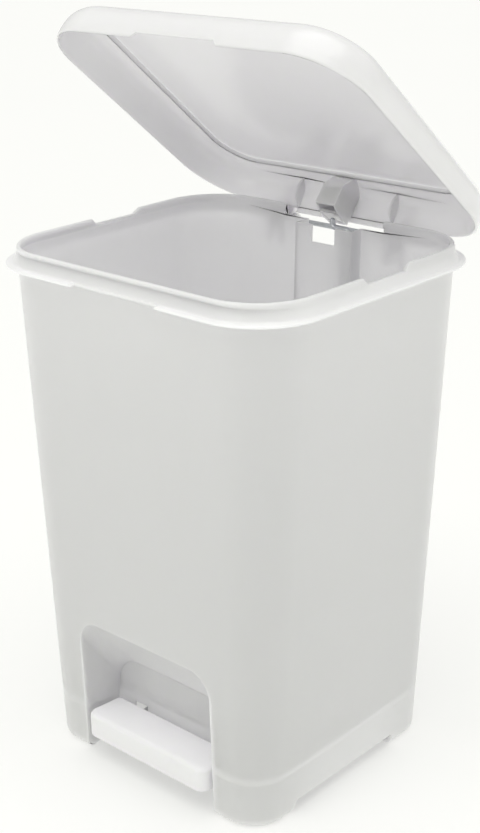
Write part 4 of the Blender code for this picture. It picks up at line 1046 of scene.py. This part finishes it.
class TRASHCAN_OT_pedal(bpy.types.Operator):
    """Build the pedal: lever, tread, axle, caps and screws"""

    bl_idname = "trashcan.pedal"
    bl_label = "Pedal"

    def execute(self, context):
        lever = carve("pedal_lever", slab("pedal_lever", arm_stations(-1)), BIN, lever_steps(), edge=0.0005)
        add_piece("pedal_lever", lever, inner_white())
        tread = carve("pedal_tread", tread_loft(), BIN, tread_steps(), edge=0.0003, edge_angle=50)
        add_piece("pedal_tread", tread, tread_white())
        centre = (0, PIVOT_Y, PIVOT_Z)
        axle = turned("lever_axle", "X", centre, wire_profile(AXLE_HALF, AXLE_RADIUS))
        axle = carve("lever_axle", axle, BIN)
        add_piece("lever_axle", axle, zinc_plate("Axle Zinc", 0.34, (0.03, 1.0, 1.0)))
        for sign, label in SIDES:
            node = "axle_cap_" + label
            place = (sign * (AXLE_HALF - 0.0017), PIVOT_Y, PIVOT_Z)
            cap = cap_mesh(node, place, AXLE_RADIUS + BORE_GAP, 0.0060, 0.0046, sign)
            add_piece(node, carve(node, cap, BIN), zinc_plate("Cap Zinc", 0.36), sharp=50.0)
            place = (sign * ARM_X, TREAD_SCREW_Y, line_z(TREAD_SCREW_Y) - ARM_THICK / 2 - TOUCH_GAP)
            node = "tread_screw_" + label
            screw = screw_mesh(node, "Z", place, 1, 0.0130)
            add_piece(node, carve(node, screw, BIN), zinc_plate("Screw Zinc", 0.33))
        return {"FINISHED"}


class TRASHCAN_OT_brackets(bpy.types.Operator):
    """Build the brackets that hold the lever's axle, with their screws"""

    bl_idname = "trashcan.brackets"
    bl_label = "Axle Brackets"

    def execute(self, context):
        chamfer = 0.0015
        for sign, label in SIDES:
            x0, x1 = sorted((sign * BLOCK_IN, sign * BLOCK_OUT))
            front, rear = PIVOT_Y - BLOCK_HALF, PIVOT_Y + BLOCK_HALF
            top = PIVOT_Z - TOUCH_GAP / 2
            outline = [(front, BRACKET_LOW + chamfer), (front + chamfer, BRACKET_LOW)]
            outline += [(rear - chamfer, BRACKET_LOW), (rear, BRACKET_LOW + chamfer)]
            outline += [(rear, top), (front, top)]
            steps = [(CUT, bore("bracket_bore", "X", (0, PIVOT_Y, PIVOT_Z), AXLE_RADIUS + BORE_GAP), BIN)]
            x = (x0 + x1) / 2
            for shift in (-BLOCK_SCREW_Y, BLOCK_SCREW_Y):
                way = bore("screw_way", "Z", (x, PIVOT_Y + shift, 0.025), SCREW_RADIUS + BORE_GAP, 0.015)
                steps.append((CUT, way, BIN))
            node = "axle_bracket_" + label
            mesh = carve(node, prism(node, outline, "X", x0, x1), BIN, steps, edge=0.0004)
            add_piece(node, mesh, inner_white())
            for shift, end in ((-BLOCK_SCREW_Y, "front"), (BLOCK_SCREW_Y, "rear")):
                node = "bracket_screw_%s_%s" % (label, end)
                screw = screw_mesh(node, "Z", (x, PIVOT_Y + shift, BRACKET_LOW - TOUCH_GAP), 1, 0.0150)
                add_piece(node, carve(node, screw, BIN), zinc_plate("Screw Zinc", 0.33))
        return {"FINISHED"}


# ---------------------------------------------------------------------------
# Stage: floor, light and camera
# ---------------------------------------------------------------------------
CAMERA_AZIMUTH = 42.696
CAMERA_DISTANCE = 1.18655
CAMERA_HEIGHT = 0.75635
CAMERA_YAW, CAMERA_PITCH, CAMERA_ROLL = -0.108, -21.093, -0.993


def area_light(name, location, aim, size, power, colour):
    data = bpy.data.lights.new(name, "AREA")
    data.shape = "RECTANGLE"
    data.size, data.size_y = size
    data.energy = power
    data.color = colour
    light = bpy.data.objects.new(name, data)
    bpy.context.scene.collection.objects.link(light)
    light.location = location
    light.rotation_mode = "QUATERNION"
    light.rotation_quaternion = (Vector(aim) - Vector(location)).to_track_quat("-Z", "Y")
    return light


def pale_floor(studio):
    mat = bpy.data.materials.new("Pale Floor")
    mat.use_nodes = True
    tree = mat.node_tree
    shader = tree.nodes["Principled BSDF"]
    where = tree.nodes.new("ShaderNodeTexCoord").outputs["Object"]
    drift = noise_node(tree, 1.5, 2.0, where)
    dark = (*(0.985 * c for c in studio.floor), 1.0)
    tree.links.new(mix_colour(tree, drift, (*studio.floor, 1.0), dark), shader.inputs["Base Color"])
    shader.inputs["Roughness"].default_value = 0.85
    shader.inputs["Specular IOR Level"].default_value = 0.2
    shader.inputs["Emission Color"].default_value = (*studio.floor, 1.0)
    shader.inputs["Emission Strength"].default_value = studio.floor_glow
    return mat


class TRASHCAN_OT_stage(bpy.types.Operator):
    """Build the plain floor, the studio light and the camera"""

    bl_idname = "trashcan.stage"
    bl_label = "Stage"

    def execute(self, context):
        studio = context.scene.trash_can_studio

        def build(bm):
            steps, radius = 96, 40.0
            angles = [math.tau * k / steps for k in range(steps)]
            bm.faces.new([bm.verts.new((radius * math.cos(a), radius * math.sin(a), 0)) for a in angles])

        floor_mesh = mesh_from("studio_floor", build)
        floor_mesh.materials.append(pale_floor(studio))
        floor = bpy.data.objects.new("studio_floor", floor_mesh)
        context.scene.collection.objects.link(floor)
        floor.location.z = -0.0002

        world = bpy.data.worlds.new("Studio")
        context.scene.world = world
        world.use_nodes = True
        tree = world.node_tree
        seen = tree.nodes.new("ShaderNodeBackground")
        seen.inputs["Color"].default_value = (0.975, 0.985, 0.94, 1.0)
        light = tree.nodes["Background"]
        light.inputs["Color"].default_value = (1.0, 1.0, 0.985, 1.0)
        light.inputs["Strength"].default_value = studio.sky
        path = tree.nodes.new("ShaderNodeLightPath")
        mix = tree.nodes.new("ShaderNodeMixShader")
        tree.links.new(path.outputs["Is Camera Ray"], mix.inputs["Fac"])
        tree.links.new(light.outputs["Background"], mix.inputs[1])
        tree.links.new(seen.outputs["Background"], mix.inputs[2])
        tree.links.new(mix.outputs["Shader"], tree.nodes["World Output"].inputs["Surface"])

        aim = (0.0, MIDDLE_Y, 0.25)
        sun = bpy.data.objects.new("overhead_light", bpy.data.lights.new("overhead_light", "SUN"))
        context.scene.collection.objects.link(sun)
        sun.data.energy = studio.overhead
        sun.data.angle = studio.softness
        sun.data.color = (1.0, 0.995, 0.99)
        sun.rotation_euler = (math.radians(6), 0.0, math.radians(40))
        area_light("front_light", (-0.5, -2.5, 1.6), aim, (1.8, 1.2), studio.front_power, (1.0, 1.0, 0.95))
        area_light("side_light", (2.5, 0.9, 0.9), aim, (1.6, 1.8), studio.side_power, (1.0, 1.0, 0.95))

        data = bpy.data.cameras.new("studio_camera")
        data.lens = studio.lens
        data.sensor_width = 36.0
        camera = bpy.data.objects.new("studio_camera", data)
        context.scene.collection.objects.link(camera)
        azimuth = math.radians(CAMERA_AZIMUTH)
        camera.location = (CAMERA_DISTANCE * math.sin(azimuth),
                           MIDDLE_Y - CAMERA_DISTANCE * math.cos(azimuth), CAMERA_HEIGHT)
        turn = Matrix.Rotation(math.radians(CAMERA_AZIMUTH + CAMERA_YAW), 4, "Z")
        turn = turn @ Matrix.Rotation(math.radians(90 + CAMERA_PITCH), 4, "X")
        turn = turn @ Matrix.Rotation(math.radians(CAMERA_ROLL), 4, "Z")
        camera.rotation_euler = turn.to_euler()
        context.scene.camera = camera
        context.scene.view_settings.view_transform = "Standard"
        return {"FINISHED"}


OPERATORS = (TRASHCAN_OT_body, TRASHCAN_OT_lid, TRASHCAN_OT_hinge, TRASHCAN_OT_rod, TRASHCAN_OT_pedal,
             TRASHCAN_OT_brackets, TRASHCAN_OT_stage)


class TRASHCAN_PT_panel(bpy.types.Panel):
    """Settings and build steps of the trash can"""

    bl_idname = "TRASHCAN_PT_panel"
    bl_label = "Trash Can"
    bl_space_type = "VIEW_3D"
    bl_region_type = "UI"
    bl_category = "Trash Can"

    def draw(self, context):
        layout = self.layout
        scene = context.scene
        for group in (scene.trash_can_shape, scene.trash_can_finish, scene.trash_can_studio):
            column = layout.column(align=True)
            for name in group.bl_rna.properties.keys():
                if name not in ("rna_type", "name"):
                    column.prop(group, name)
        column = layout.column(align=True)
        for operator in OPERATORS:
            column.operator(operator.bl_idname)


CLASSES = (TrashCanShape, TrashCanFinish, TrashCanStudio) + OPERATORS + (TRASHCAN_PT_panel,)


def register():
    for cls in CLASSES:
        bpy.utils.register_class(cls)
    bpy.types.Scene.trash_can_shape = PointerProperty(type=TrashCanShape)
    bpy.types.Scene.trash_can_finish = PointerProperty(type=TrashCanFinish)
    bpy.types.Scene.trash_can_studio = PointerProperty(type=TrashCanStudio)


def unregister():
    del bpy.types.Scene.trash_can_studio
    del bpy.types.Scene.trash_can_finish
    del bpy.types.Scene.trash_can_shape
    for cls in reversed(CLASSES):
        bpy.utils.unregister_class(cls)


def main():
    register()
    for operator in OPERATORS:
        group, name = operator.bl_idname.split(".")
        getattr(getattr(bpy.ops, group), name)()


if __name__ == "__main__":
    main()
